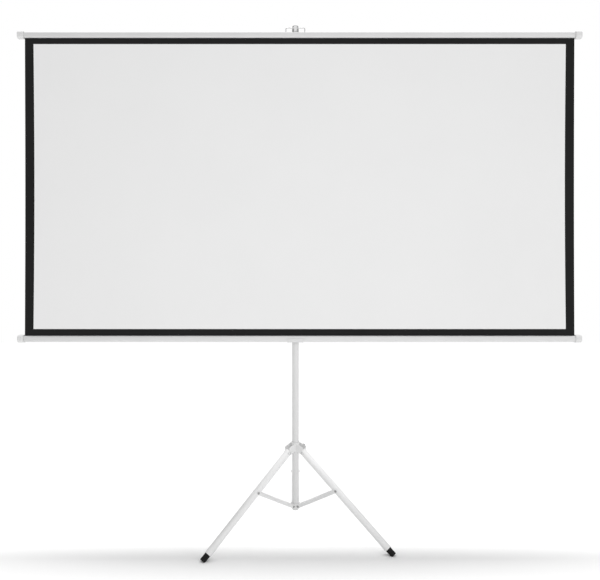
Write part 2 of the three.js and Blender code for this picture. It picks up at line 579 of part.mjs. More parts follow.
const boltHeadFrom = SADDLE_BACK - SADDLE_SHEET - SEAT_GAP;
const boltEnd = -MAST_RADIUS - SLIDE_GAP;
mast.add(piece('case_pivot_bolt', alongY(turned([
  [0, boltHeadFrom - BOLT_HEAD],
  [BOLT_HEAD_RADIUS, boltHeadFrom - BOLT_HEAD],
  [BOLT_HEAD_RADIUS, boltHeadFrom],
  [BOLT_RADIUS, boltHeadFrom],
  [BOLT_RADIUS, boltEnd],
  [0, boltEnd],
], SMALL_SIDES)).translate([0, 0, BOLT_HEIGHT]), zincSteel));

const stopHeight = CARRIAGE_BOTTOM - SEAT_GAP - STOP_HEAD_RADIUS;
mast.add(piece('carriage_stop', outwards(
  rod(STOP_HEAD_RADIUS, MAST_RADIUS + SEAT_GAP, MAST_RADIUS + SEAT_GAP + STOP_HEAD), STOP_ANGLE)
  .translate([0, 0, stopHeight]), zincSteel));

// Tripod: all three legs are the same, each in a group turned to its azimuth
const tripod = new THREE.Group();
screen.add(tripod);

// Hub: sleeve on the mast with a pair of ears for each leg and a clamp boss between two legs
const earShape = new THREE.Shape();
const earTop = HUB_PIVOT_HEIGHT + HUB_ABOVE;
const hubBottom = HUB_PIVOT_HEIGHT + HUB_BASE;
earShape.moveTo(EAR_ROOT, HUB_PIVOT_HEIGHT + EAR_ROOT_RISE);
earShape.absarc(HUB_PIVOT_REACH, HUB_PIVOT_HEIGHT, EAR_NOSE, -2 * Math.PI / 3, Math.PI / 3);
earShape.lineTo(HUB_PIVOT_REACH, HUB_PIVOT_HEIGHT + EAR_WAIST_RISE);
earShape.lineTo(HUB_PIVOT_REACH + EAR_CORNER_OUT, HUB_PIVOT_HEIGHT + EAR_CORNER_RISE);
earShape.lineTo(EAR_ROOT, earTop);
const legPinHole = alongY(rod(LEG_PIN_RADIUS + SEAT_GAP, -2 * CHEEK, 2 * CHEEK));
const besideLeg = THREE.MathUtils.degToRad(LEG_AZIMUTHS[2] - HUB_KNOB_AZIMUTH);
const pastEars = (CHEEK + EAR_THICKNESS) / Math.sin(besideLeg) + KNOB_RADIUS / Math.tan(besideLeg);
const hubKnob = knobSolids(SLEEVE_BORE, pastEars);
const hubKnobHeight = HUB_PIVOT_HEIGHT + HUB_KNOB_LIFT;
const atHub = (body) => outwards(body, HUB_KNOB_AZIMUTH).translate([0, 0, hubKnobHeight]);
let hub = rod(HUB_RADIUS, hubBottom, earTop, TUBE_SIDES).add(atHub(hubKnob.boss));
for (const azimuth of LEG_AZIMUTHS) {
  for (const direction of [-1, 1]) {
    const ear = extruded(earShape, EAR_THICKNESS, OUTLINE_XZ)
      .translate([0, direction * (CHEEK + EAR_THICKNESS / 2), 0])
      .subtract(legPinHole.translate([HUB_PIVOT_REACH, 0, HUB_PIVOT_HEIGHT]));
    hub = hub.add(ear.rotate([0, 0, azimuth]));
  }
}
hub = hub
  .subtract(rod(SLEEVE_BORE, hubBottom - CUT_MARGIN, earTop + CUT_MARGIN, TUBE_SIDES))
  .subtract(atHub(hubKnob.hole));
tripod.add(piece('leg_hub', hub, greyPaint));
tripod.add(piece('hub_knob', atHub(hubKnob.knob), blackPlastic));
tripod.add(piece('hub_stud', atHub(hubKnob.stud), zincSteel));

// Bracket: collar at the foot of the mast with a lug for each brace
const lugShape = new THREE.Shape();
lugShape.moveTo(MAST_RADIUS / 2, -LUG_RADIUS);
lugShape.absarc(BRACKET_PIVOT_REACH, 0, LUG_RADIUS, -Math.PI / 2, Math.PI / 2);
lugShape.lineTo(MAST_RADIUS / 2, LUG_RADIUS);
const bracePinHole = alongY(rod(BRACE_PIN_RADIUS + SEAT_GAP, -2 * CHEEK, 2 * CHEEK));
let bracket = rod(MAST_RADIUS + SEAT_GAP + BRACKET_WALL, -BRACKET_BELOW, BRACKET_ABOVE, TUBE_SIDES);
for (const azimuth of LEG_AZIMUTHS) {
  const lug = extruded(lugShape, 2 * (CHEEK - SLIDE_GAP), OUTLINE_XZ)
    .subtract(bracePinHole.translate([BRACKET_PIVOT_REACH, 0, 0]));
  bracket = bracket.add(lug.rotate([0, 0, azimuth]));
}
bracket = bracket
  .subtract(rod(MAST_RADIUS + SEAT_GAP, -BRACKET_BELOW - CUT_MARGIN, BRACKET_ABOVE + CUT_MARGIN, TUBE_SIDES))
  .translate([0, 0, BRACKET_PIVOT_HEIGHT]);
tripod.add(piece('brace_bracket', bracket, greyPaint));

// Brace: two side plates joined by a web along their upper edge, with set rivets at the leg end
const plateShape = new THREE.Shape();
plateShape.absarc(0, 0, BRACE_WIDTH / 2, Math.PI / 2, Math.PI * 1.5);
plateShape.absarc(BRACE_LENGTH, 0, BRACE_WIDTH / 2, -Math.PI / 2, Math.PI / 2);
const cheekOut = CHEEK + BRACE_SHEET;
const webTop = BRACE_WIDTH / 2;
const rivetRadius = BRACE_PIN_RADIUS + PIN_HEAD_STEP;
let brace = box([WEB_FROM_BRACKET, -cheekOut, webTop - BRACE_WEB],
  [BRACE_LENGTH - WEB_FROM_LEG, cheekOut, webTop]);
for (const direction of [-1, 1]) {
  const plate = extruded(plateShape, BRACE_SHEET, OUTLINE_XZ)
    .translate([0, direction * (CHEEK + BRACE_SHEET / 2), 0]);
  const rivet = alongY(rod(rivetRadius, -PIN_HEAD, PIN_HEAD))
    .translate([BRACE_LENGTH, direction * cheekOut, 0]);
  const inside = box([BRACE_LENGTH - BRACE_WIDTH, -CHEEK - BRACE_SHEET / 2, -BRACE_WIDTH],
    [BRACE_LENGTH + BRACE_WIDTH, CHEEK + BRACE_SHEET / 2, BRACE_WIDTH]);
  brace = brace.add(plate).add(rivet.subtract(inside));
}
brace = brace.subtract(bracePinHole);

// Leg tube and foot plug run down the leg from its pivot; the foot is cut flat by the floor
const legTube = ring(LEG_RADIUS - LEG_WALL, LEG_RADIUS, -LEG_END, LEG_ABOVE_PIVOT).subtract(legPinHole);
const shankRadius = LEG_RADIUS - LEG_WALL - SEAT_GAP;
const footTop = -FOOT_END + FOOT_LENGTH;
const foot = turned([
  [0, -FOOT_END],
  [FOOT_RADIUS, -FOOT_END],
  [FOOT_RADIUS, footTop],
  [shankRadius, footTop],
  [shankRadius, footTop + FOOT_SHANK],
  [0, footTop + FOOT_SHANK],
]);
const onLeg = (body) => body.rotate([0, -LEG_SPREAD, 0]).translate([HUB_PIVOT_REACH, 0, HUB_PIVOT_HEIGHT]);
const floorReach = HUB_PIVOT_REACH + FOOT_END;
const floor = box([0, -floorReach, -floorReach], [floorReach, floorReach, 0]);
const placedFoot = onLeg(foot).subtract(floor);
const placedBrace = brace.rotate([0, -THREE.MathUtils.radToDeg(BRACE_TILT), 0])
  .translate([BRACKET_PIVOT_REACH, 0, BRACKET_PIVOT_HEIGHT]);
const legPin = headedPin(LEG_PIN_RADIUS, CHEEK + EAR_THICKNESS + SEAT_GAP)
  .translate([HUB_PIVOT_REACH, 0, HUB_PIVOT_HEIGHT]);
const bracePin = headedPin(BRACE_PIN_RADIUS, cheekOut + SEAT_GAP)
  .translate([BRACKET_PIVOT_REACH, 0, BRACKET_PIVOT_HEIGHT]);
LEG_NAMES.forEach((name, i) => {
  const side = new THREE.Group();
  side.rotation.z = THREE.MathUtils.degToRad(LEG_AZIMUTHS[i]);
  side.add(piece(`leg_${name}`, onLeg(legTube), greyPaint));
  side.add(piece(`foot_${name}`, placedFoot, blackRubber));
  side.add(piece(`leg_pin_${name}`, legPin, zincSteel));
  side.add(piece(`brace_${name}`, placedBrace, greyPaint));
  side.add(piece(`brace_pin_${name}`, bracePin, zincSteel));
  tripod.add(side);
});

// The origin lies on the floor under the middle of the whole outline
const outline = new THREE.Box3().setFromObject(screen);
const middle = outline.getCenter(new THREE.Vector3());
screen.position.set(-middle.x, -middle.y, -outline.min.z);

export default screen;
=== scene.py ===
# %% [markdown]
# # A tripod projection screen, cell by cell
#
# The screen hangs in a frame that is already worked out to the millimetre: tubes, hinges, slides and a
# roller. This lesson dresses that frame. Every piece below is a surface worked out with numpy, laid over the
# piece of the frame that it stands for, and it rides on the body that carries that piece when things move.

# %% Load the frame
import json
import math

import bmesh
import bpy
import numpy as np
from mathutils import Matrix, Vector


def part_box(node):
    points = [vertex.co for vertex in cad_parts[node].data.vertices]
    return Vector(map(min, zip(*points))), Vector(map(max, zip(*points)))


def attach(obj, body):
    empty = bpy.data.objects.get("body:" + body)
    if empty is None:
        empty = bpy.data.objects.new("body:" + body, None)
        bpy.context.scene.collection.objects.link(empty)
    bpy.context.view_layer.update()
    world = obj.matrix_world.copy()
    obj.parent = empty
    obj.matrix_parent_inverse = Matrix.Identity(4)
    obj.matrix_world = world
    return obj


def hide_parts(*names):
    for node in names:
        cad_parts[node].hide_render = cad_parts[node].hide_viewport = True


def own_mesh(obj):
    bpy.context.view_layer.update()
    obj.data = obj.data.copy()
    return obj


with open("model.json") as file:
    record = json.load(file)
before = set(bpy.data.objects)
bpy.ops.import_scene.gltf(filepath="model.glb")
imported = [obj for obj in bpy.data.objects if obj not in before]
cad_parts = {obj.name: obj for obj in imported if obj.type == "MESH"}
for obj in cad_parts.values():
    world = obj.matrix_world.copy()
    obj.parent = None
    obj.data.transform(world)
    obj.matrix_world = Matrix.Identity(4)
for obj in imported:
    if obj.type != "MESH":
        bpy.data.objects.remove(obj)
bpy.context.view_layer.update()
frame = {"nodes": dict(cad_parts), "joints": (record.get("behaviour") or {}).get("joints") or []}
joints = {j["name"]: j for j in frame["joints"]}

# %% [markdown]
# ## Where things are
#
# A maker measures everything from one line, and here that line is the middle of the mast. Sizes are written
# in millimetres, as on a drawing, and turned into metres when a mesh is made. Reading the places from the
# frame means that no piece has to be fitted by eye.

# %% The mast's line and the three legs
MM = 0.001
UP = np.array([0.0, 0.0, 1.0])


def corners(node):
    """Lowest and highest corner of a node of the frame, in millimetres."""
    low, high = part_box(node)
    return np.array(low) / MM, np.array(high) / MM


mast_low, mast_high = corners("mast_tube")
AXIS = np.array([*(mast_low + mast_high)[:2] / 2, 0.0])
MAST_RADIUS = (mast_high - mast_low)[0] / 2
LEG_SPREAD = math.radians(joints["leg_left_hinge"]["range_deg"][1])
SIDES = ("left", "right", "rear")


def pivot_of(joint):
    """A point on a joint's line, in millimetres."""
    return np.array(joints[joint]["pos_m"]) / MM


def tripod_side(side):
    """One leg's own directions: out from the mast, across the leg, and down along the leg."""
    across = np.array(joints[f"leg_{side}_hinge"]["axis"])
    out = np.array([across[1], -across[0], 0.0])
    down = math.sin(LEG_SPREAD) * out - math.cos(LEG_SPREAD) * UP
    return out, across, down


print("mast line at", AXIS.round(2), "radius", MAST_RADIUS)

# %% [markdown]
# ## The camera
#
# The photograph was taken from straight in front, from about hip height, a good two and a half metres away.
# A shift of less than one per cent puts the horizon where the photograph has it, so the camera can stay level
# and the uprights stay upright.

# %% Camera
FOCUS_PIXELS, IMAGE_WIDTH = 639.6, 600
SHIFT_RIGHT, SHIFT_DOWN = 0.14, 4.3
EYE_RIGHT, EYE_IN_FRONT, EYE_HEIGHT = 0.0189, 2.723, 1.071
lens = bpy.data.cameras.new("view_from_the_front")
lens.sensor_width = 36
lens.lens = FOCUS_PIXELS / IMAGE_WIDTH * lens.sensor_width
lens.shift_x = SHIFT_RIGHT / IMAGE_WIDTH
lens.shift_y = -SHIFT_DOWN / IMAGE_WIDTH
lens.clip_end = 200
camera = bpy.data.objects.new("view_from_the_front", lens)
camera.location = (AXIS[0] * MM + EYE_RIGHT, AXIS[1] * MM - EYE_IN_FRONT, EYE_HEIGHT)
camera.rotation_euler = (math.pi / 2, 0, 0)
bpy.context.scene.collection.objects.link(camera)
bpy.context.scene.camera = camera
print("lens", round(lens.lens, 2), "mm")

# %% [markdown]
# ## Lines that are easy on the fingers
#
# No real edge is a mathematical corner. Instead of bevelling meshes afterwards, each outline is softened
# before it becomes a surface: every corner gives way to an arc.

# %% Softened outlines


def softened(points, radius, steps=5, closed=True):
    """Each corner of a line gives way to an arc of the given radius, or less where its sides are short.

    The arc touches both sides at the same distance from the corner, and its points turn evenly about its
    middle from the one touch to the other. A radius of zero keeps the corner."""
    p = np.asarray(points, float)
    here = p if closed else p[1:-1]
    back = (np.roll(p, 1, 0) if closed else p[:-2]) - here
    ahead = (np.roll(p, -1, 0) if closed else p[2:]) - here
    back_length, ahead_length = np.linalg.norm(back, axis=1), np.linalg.norm(ahead, axis=1)
    back, ahead = back / back_length[:, None], ahead / ahead_length[:, None]
    half = np.clip(np.arccos(np.clip((back * ahead).sum(1), -1, 1)) / 2, 0.02, 1.55)
    reach = np.minimum(radius / np.tan(half), 0.48 * np.minimum(back_length, ahead_length))
    inwards = back + ahead
    inwards = inwards / np.maximum(np.linalg.norm(inwards, axis=1), 1e-9)[:, None]
    middle = here + inwards * (reach / np.cos(half))[:, None]
    first = here + back * reach[:, None] - middle
    last = here + ahead * reach[:, None] - middle
    turn = (np.pi - 2 * half)[:, None]
    s = np.linspace(0, 1, steps + 1)[None, :]
    arc = (np.sin(turn * (1 - s)) / np.sin(turn))[..., None] * first[:, None]
    arc = arc + (np.sin(turn * s) / np.sin(turn))[..., None] * last[:, None] + middle[:, None]
    line = arc.reshape(-1, p.shape[1])
    return line if closed else np.concatenate([p[:1], line, p[-1:]])


def rounded_rectangle(half_width, half_height, radius, steps=6):
    """A rectangle about the origin with softened corners, going round against the clock."""
    w, h = half_width, half_height
    return softened([(-w, -h), (w, -h), (w, h), (-w, h)], radius, steps)


def arc(middle, radius, start, end, steps=10):
    """Points on a circle about `middle` from one angle in degrees to another."""
    a = np.radians(np.linspace(start, end, steps + 1))
    return np.asarray(middle) + radius * np.stack([np.cos(a), np.sin(a)], 1)


print("a softened square has", len(rounded_rectangle(1, 1, 0.2)), "points")

# %% [markdown]
# ## Skins
#
# All the shapes of this object are rings joined to rings. A turned piece has one ring for each point of its
# profile, a bar has one ring for each step along its length, and a bent wire has one for each point of its
# path. So one function that sews rings together is enough.

# %% Rings sewn into skins


def skin(rings, loop=False):
    """Points and faces over an array of rings (ring, point, xyz).

    Four corners of each face: a point, the next on its ring, and the same two on the next ring. The two end
    rings are closed with one face each, or sewn to each other if loop is true."""
    rings = np.asarray(rings, float)
    count, around = rings.shape[:2]
    i, j = np.meshgrid(np.arange(count if loop else count - 1), np.arange(around), indexing="ij")
    k, after = (j + 1) % around, (i + 1) % count
    quads = np.stack([i * around + j, i * around + k, after * around + k, after * around + j], -1)
    faces = quads.reshape(-1, 4).tolist()
    if not loop:
        faces += [list(range(around))[::-1], list(range((count - 1) * around, count * around))]
    return rings.reshape(-1, 3), faces


def turned(profile, sides=64, loop=False):
    """A profile of (radius, height) points carried round the upright: one circle for each point."""
    p = np.asarray(profile, float)
    a = np.linspace(0, 2 * np.pi, sides, endpoint=False)
    circle = np.stack([np.cos(a), np.sin(a), np.zeros(sides)], 1)
    return skin(p[:, :1, None] * circle + p[:, 1:, None] * UP, loop)


print("a turned square ring has", len(turned([(1, 0), (2, 0), (2, 1), (1, 1)], loop=True)[1]), "faces")

# %% Bars, and skins set in place
X, Y = np.eye(3)[:2]


def outward(outline):
    """The way out of a closed outline at each point, long enough to move both its sides by one."""
    side = np.roll(outline, -1, 0) - outline
    normal = np.stack([side[:, 1], -side[:, 0]], 1) / np.linalg.norm(side, axis=1)[:, None]
    before = np.roll(normal, 1, 0)
    area = (outline[:, 0] * side[:, 1] - outline[:, 1] * side[:, 0]).sum()
    return np.sign(area) * (normal + before) / (1 + (normal * before).sum(1))[:, None]


def bar(outline, start, end, rim=0.4, steps=3, margin=0.0):
    """A closed outline carried straight from start to end along a third direction.

    Near each end the outline draws in by `rim` along its own normals, as a quarter circle turns. A margin
    adds one more ring inside each flat end, so that what happens on the rim stays near the rim."""
    outline = np.asarray(outline, float)
    outline = outline[np.linalg.norm(np.roll(outline, -1, 0) - outline, axis=1) > 1e-6]
    q = np.linspace(0, np.pi / 2, steps + 1)
    inset, rise = rim * (1 - np.sin(q)), rim * (1 - np.cos(q))
    inset, along = np.concatenate([inset, inset[::-1]]), np.concatenate([start + rise, end - rise[::-1]])
    if margin:
        inset = np.concatenate([[rim + margin], inset, [rim + margin]])
        along = np.concatenate([[start], along, [end]])
    flat = outline[None] - inset[:, None, None] * outward(outline)[None]
    height = np.broadcast_to(along[:, None, None], (*flat.shape[:2], 1))
    return skin(np.concatenate([flat, height], 2))


def placed(part, origin, first, second, third):
    """A skin whose three coordinates are measured along three directions from an origin."""
    points, faces = part
    return points @ np.array([first, second, third], float) + np.asarray(origin, float), faces


def square_to(direction):
    """Three directions at right angles to each other, the last one along the given direction."""
    third = np.asarray(direction, float) / np.linalg.norm(direction)
    first = np.cross(UP if abs(third[2]) < 0.9 else Y, third)
    first = first / np.linalg.norm(first)
    return first, np.cross(third, first), third


def stood_along(part, origin, direction):
    """A skin whose upright is laid along a direction."""
    return placed(part, origin, *square_to(direction))


print("a bar with softened corners has", len(bar(rounded_rectangle(1, 1, 0.2), 0, 5)[1]), "faces")

# %% [markdown]
# ## From skins to pieces
#
# A mesh takes the skins, joins points that coincide and turns the faces outwards. Pieces that are cast or
# welded from several shapes are joined with an exact boolean, so that nothing is left inside them. A number
# on each point then says how sharp the surface is there: paint and plating wear first on such edges. Where a
# piece has two finishes, as a painted plate with a steel rivet, some of its faces get the second one.

# %% Meshes from skins
JOIN_DISTANCE, SMALLEST_EDGE = 2e-6, 1e-6


def mesh_of(name, skins):
    """One mesh from several skins, with shared points joined and faces turned outwards."""
    starts = np.cumsum([0] + [len(points) for points, _ in skins])
    faces = [[k + first for k in face] for (_, own), first in zip(skins, starts) for face in own]
    mesh = bpy.data.meshes.new(name)
    mesh.from_pydata(np.concatenate([points for points, _ in skins]) * MM, [], faces)
    work = bmesh.new()
    work.from_mesh(mesh)
    bmesh.ops.remove_doubles(work, verts=work.verts, dist=JOIN_DISTANCE)
    bmesh.ops.dissolve_degenerate(work, edges=work.edges, dist=SMALLEST_EDGE)
    bmesh.ops.recalc_face_normals(work, faces=work.faces)
    work.to_mesh(mesh)
    work.free()
    return mesh


def fused(name, skins, cuts=()):
    """One body out of closed skins that overlap, with other skins cut out of it."""
    tools = [bpy.data.objects.new("tool", mesh_of("tool", [s])) for s in [*skins, *cuts]]
    for tool in tools:
        bpy.context.scene.collection.objects.link(tool)
    for k, tool in enumerate(tools[1:], 1):
        step = tools[0].modifiers.new("fuse", "BOOLEAN")
        step.operation = "UNION" if k < len(skins) else "DIFFERENCE"
        step.solver = "EXACT"
        step.object = tool
    bpy.context.view_layer.update()
    mesh = bpy.data.meshes.new_from_object(tools[0].evaluated_get(bpy.context.evaluated_depsgraph_get()))
    mesh.name = name
    for tool in tools:
        bpy.data.objects.remove(tool)
    return mesh


print("points closer than", JOIN_DISTANCE / MM, "mm are joined")

# %% Finished pieces
SHARP_DEGREES = 38


def mark_edges(mesh):
    """Point attribute `edge`: one less the length of the mean of the normals round a point.

    It is 0 on a flat face, where the normals agree, and grows where they part, on a rim or a corner."""
    loops, polygons, points = len(mesh.loops), len(mesh.polygons), len(mesh.vertices)
    at, total = np.zeros(loops, np.int32), np.zeros(polygons, np.int32)
    normal = np.zeros(polygons * 3, np.float32)
    mesh.loops.foreach_get("vertex_index", at)
    mesh.polygons.foreach_get("loop_total", total)
    mesh.polygons.foreach_get("normal", normal)
    spread = np.repeat(normal.reshape(-1, 3), total, axis=0)
    mean = np.stack([np.bincount(at, spread[:, k], points) for k in range(3)], 1)
    mean = mean / np.maximum(np.bincount(at, minlength=points), 1)[:, None]
    edge = np.clip(1 - np.linalg.norm(mean, axis=1), 0, 1).astype(np.float32)
    mesh.attributes.new("edge", "FLOAT", "POINT").data.foreach_set("value", edge)


def piece(name, mesh, body, finish, stands_for):
    """A finished piece: materials, edges, shading, the body that it rides on and the nodes it stands for."""
    mesh.materials.clear()
    mesh.materials.append(finish)
    mark_edges(mesh)
    mesh.shade_smooth()
    mesh.set_sharp_from_angle(angle=math.radians(SHARP_DEGREES))
    made = bpy.data.objects.new(name, mesh)
    bpy.context.scene.collection.objects.link(made)
    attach(made, body)
    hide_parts(*stands_for)
    print(name, "rides on", body, "with", len(mesh.polygons), "faces")
    return made


def skin_piece(name, part, body, finish, stands_for):
    """A finished piece that is made of one skin."""
    return piece(name, mesh_of(name, [part]), body, finish, stands_for)


def refinish(made, finish, chosen):
    """A second finish on some faces: `chosen` looks at the middles of all faces and picks them."""
    mesh = made.data
    middles = np.zeros(len(mesh.polygons) * 3, np.float32)
    mesh.polygons.foreach_get("center", middles)
    mesh.materials.append(finish)
    mesh.polygons.foreach_set("material_index", chosen(middles.reshape(-1, 3) / MM).astype(np.int32))


print("edges over", SHARP_DEGREES, "degrees stay sharp")

# %% [markdown]
# ## Finishes
#
# Sprayed paint is never one flat colour: it lies a little thicker here and thinner there, it has a fine
# orange-peel texture, and it rubs thin on edges that get handled. Moulded plastic has a grain from its
# mould, zinc plating has a faint drawn grain, rubber is dull and dusty. They share one recipe with different
# numbers: soft clouds for the tone, the edge attribute broken up by noise for wear, and a fine bump. A small
# helper adds a node and wires it at once, so that each recipe reads as a list.

# %% Nodes of a finish


def grey(value):
    """A neutral colour of that brightness, in linear light."""
    return (value, value, value, 1)


def feed(node, inputs):
    """Each input of a node is linked to the output of another node, or else set to a plain value."""
    for socket, value in inputs.items():
        if isinstance(value, bpy.types.NodeSocket):
            node.id_data.links.new(value, node.inputs[socket])
        else:
            node.inputs[socket].default_value = value


def add(tree, kind, output, inputs, **settings):
    """A new node with its settings and its inputs; what comes back is one of its outputs."""
    node = tree.nodes.new("ShaderNode" + kind)
    for setting, value in settings.items():
        setattr(node, setting, value)
    feed(node, inputs)
    return node.outputs[output]


def toned(tree, drift, stops):
    """Greys that follow a drifting value: each stop is a value and the grey that it gets."""
    tone = add(tree, "ValToRGB", "Color", {"Fac": drift})
    for stop, (place, value) in zip(tone.node.color_ramp.elements, stops):
        stop.position, stop.color = place, grey(value)
    return tone


def fresh_material(name):
    """A new material, its tree of nodes and its surface."""
    material = bpy.data.materials.new(name)
    material.use_nodes = True
    return material, material.node_tree, material.node_tree.nodes["Principled BSDF"]


print("a grey of one half:", grey(0.5))

# %% The recipe for coated surfaces
CLOUDS_PER_METRE, CHIPS_PER_METRE, GLOSS_PER_METRE = 9, 160, 40


def coated(name, slot, tint, worn, roughness, clouds=0.03, grain=(900, 0.05), metal=0.0, shine=0.5,
           along=(1, 1, 1)):
    """Tone follows soft clouds of noise; edges break up into the worn grey; a fine noise lifts the surface.

    Roughness is the least and the most, grain the noise's scale per metre and the bump's strength, and along
    stretches the grain in one direction."""
    material, tree, surface = fresh_material(name)
    material["record_slot"] = slot
    place = add(tree, "TexCoord", "Object", {})

    def noise(scale, detail, stretch=(1, 1, 1)):
        grid = add(tree, "Mapping", "Vector", {"Vector": place, "Scale": stretch})
        return add(tree, "TexNoise", "Fac", {"Vector": grid, "Scale": scale, "Detail": detail})

    def ranged(value, low, high, to_low, to_high):
        limits = {"From Min": low, "From Max": high, "To Min": to_low, "To Max": to_high}
        return add(tree, "MapRange", "Result", {"Value": value, **limits})

    stops = (0.3, tint * (1 - clouds)), (0.7, tint * (1 + clouds))
    tone = toned(tree, noise(CLOUDS_PER_METRE, 3), stops)
    edge = ranged(add(tree, "Attribute", "Fac", {}, attribute_name="edge"), 0.004, 0.2, 0, 1)
    chips = ranged(noise(CHIPS_PER_METRE, 4), 0.45, 0.7, 0, 1)
    rubbed = add(tree, "Math", "Value", {0: edge, 1: chips}, operation="MULTIPLY")
    colour = add(tree, "Mix", 2, {0: rubbed, 6: tone, 7: grey(worn)}, data_type="RGBA")
    rough = ranged(noise(GLOSS_PER_METRE, 3), 0.3, 0.7, *roughness)
    scale, strength = grain
    fine = noise(scale, 2, along)
    lift = add(tree, "Bump", "Normal", {"Strength": strength, "Distance": 0.0005, "Height": fine})
    feed(surface, {"Metallic": metal, "Specular IOR Level": shine, "Base Color": colour, "Roughness": rough,
                   "Normal": lift})
    return material


print("tone drifts about", CLOUDS_PER_METRE, "times in a metre")

# %% The finishes
PAINT, SMOOTH_PAINT, MOULDED, FINE = (700, 0.06), (700, 0.05), (1600, 0.09), (1800, 0.12)
mast_paint = coated("mast_paint", "silver_paint", 0.615, 0.5, (0.36, 0.46), 0.02, PAINT)
tube_paint = coated("tube_paint", "silver_paint", 0.715, 0.55, (0.5, 0.6), 0.02, PAINT, shine=0.2)
slat_paint = coated("slat_paint", "silver_paint", 0.61, 0.52, (0.4, 0.5), 0.02, SMOOTH_PAINT)
case_paint = coated("case_paint", "white_paint", 0.605, 0.55, (0.4, 0.5), 0.02, SMOOTH_PAINT)
pressed_paint = coated("pressed_paint", "silver_paint", 0.65, 0.59, (0.36, 0.48), 0.02, (600, 0.08))
cap_plastic = coated("cap_plastic", "grey_plastic", 0.63, 0.72, (0.45, 0.58), 0.02, MOULDED)
# The hook is a darker grey than the other mouldings, as painted shade on its sides, and its tongue a lighter
# grey of the same plastic, as a painted highlight down its middle.
hook_painted_shade = coated("hook_painted_shade", "grey_plastic", 0.36, 0.45, (0.4, 0.55), 0.03, MOULDED)
tongue_painted_highlight = coated("tongue_painted_highlight", "grey_plastic", 0.68, 0.72, (0.4, 0.55), 0.03, MOULDED)
knob_plastic = coated("knob_plastic", "black_plastic", 0.016, 0.06, (0.45, 0.6), 0.15, FINE, shine=0.3)
foot_rubber = coated("foot_rubber", "rubber", 0.008, 0.03, (0.6, 0.8), 0.3, (1200, 0.15), shine=0.2)
zinc_plate = coated("zinc_plate", "zinc", 0.6, 0.42, (0.28, 0.42), 0.05, metal=1.0, along=(1, 1, 0.08))
rivet_steel = coated("rivet_steel", "zinc", 0.26, 0.38, (0.35, 0.5), 0.08, metal=0.3)
dark_spring = coated("dark_spring", "spring_steel", 0.2, 0.35, (0.3, 0.45), 0.1, (900, 0.08), metal=1.0)
print("finishes:", ", ".join(m.name for m in bpy.data.materials if "record_slot" in m))

# %% [markdown]
# ## Mast tubes
#
# The mast is two drawn steel tubes, one inside the other. A tube with a real wall matters at its ends, where
# the rim catches the light, so the profile is a closed loop: up the outside, over the rim and down the bore.

# %% Mast tubes and the plug at the foot


def tube(inner, outer, low, high):
    """A tube on the upright: its wall's section, with softened rims, carried round."""
    section = [(inner, low), (outer, low), (outer, high), (inner, high)]
    return turned(softened(section, 0.4, 3), loop=True)


def on_mast(part):
    """A skin set on the line of the mast."""
    return placed(part, AXIS, X, Y, UP)


TUBE_WALL, UPPER_WALL = 1.4, 1.2
lower_tube = tube(MAST_RADIUS - TUBE_WALL, MAST_RADIUS, mast_low[2], mast_high[2])
skin_piece("lower_mast", on_mast(lower_tube), "mast", mast_paint, ["mast_tube"])
low, high = corners("upper_tube")
UPPER_RADIUS = (high - low)[0] / 2
upper_tube = tube(UPPER_RADIUS - UPPER_WALL, UPPER_RADIUS, low[2], high[2])
skin_piece("upper_mast_tube", on_mast(upper_tube), "upper_mast", mast_paint, ["upper_tube"])

DOME, NECK = 5, MAST_RADIUS - 1.7
low, high = corners("mast_end_plug")
dome = arc((0, 0), 1, -88, 0, 14) * (MAST_RADIUS, DOME) + (0, low[2] + DOME)
plug = turned(softened([*dome, (NECK, low[2] + DOME), (NECK, high[2]), (0.4, high[2])], 0.3, 2, False))
skin_piece("mast_foot_plug", on_mast(plug), "mast", cap_plastic, ["mast_end_plug"])

# %% [markdown]
# ## Clamp knobs
#
# Three black hand knobs lock the mast, the case and the hub. A knob is a turned shape whose radius also
# swells and shrinks as one goes round, which makes the six finger grips. The grips fade out towards the
# face, where the knob is round again.

# %% Knob shape
KNOB_RADIUS, KNOB_HEIGHT = 14, 14
GRIPS, GRIP_DEPTH = 6, 0.13


def knob(foot):
    """A hand knob standing on `foot`: radius = profile * (1 - depth * (1 - cos(grips * angle)) / 2).

    The depth of the grips follows the sine of the height, so that both ends stay round."""
    rim, top = KNOB_RADIUS, foot + KNOB_HEIGHT
    profile = softened([(3.4, foot), (rim - 2, foot), (rim, foot + 2.5), (rim, top - 3), (rim - 3.5, top),
                        (8, top), (7.4, top - 0.8), (0.4, top - 0.8)], 1.4, 6, False)
    a = np.linspace(0, 2 * np.pi, 96, endpoint=False)
    rise = np.clip((profile[:, 1] - foot) / KNOB_HEIGHT, 0, 1)
    grip = GRIP_DEPTH * np.sin(np.pi * rise) * (profile[:, 0] > 9)
    radius = profile[:, :1] * (1 - grip[:, None] * (1 - np.cos(GRIPS * a)) / 2)
    return skin(np.stack([radius * np.cos(a), radius * np.sin(a), np.repeat(profile[:, 1:], len(a), 1)], -1))


def boss(start, end):
    """The round boss that a clamp screw goes through."""
    profile = [(0.4, start), (8, start), (8, end), (3.5, end), (3.5, end - 1), (0.4, end - 1)]
    return turned(softened(profile, 0.6, 3, False), 48)


def screw_line(joint):
    """Where a clamp screw's line crosses the middle of the mast, and the way that it points."""
    return AXIS + pivot_of(joint)[2] * UP, np.array(joints[joint]["axis"], float)


for name, body, node, joint, foot in (
    ("mast_clamp_knob", "clamp_screw", "clamp_knob", "clamp_knob_turn", 29.6),
    ("case_clamp_knob", "carriage_screw", "carriage_knob", "carriage_knob_turn", 31.4),
    ("hub_clamp_knob", "hub_screw", "hub_knob", "hub_knob_turn", 31.4),
):
    skin_piece(name, stood_along(knob(foot), *screw_line(joint)), body, knob_plastic, [node])

# %% [markdown]
# ## Collars on the mast
#
# Two moulded collars sit on the mast: one at the top of the lower tube grips the upper tube, and one carries
# the case. The first is a turned ring, the second a block with a flat front. Each is fused with a boss for
# its screw, and the block is then bored for the mast.

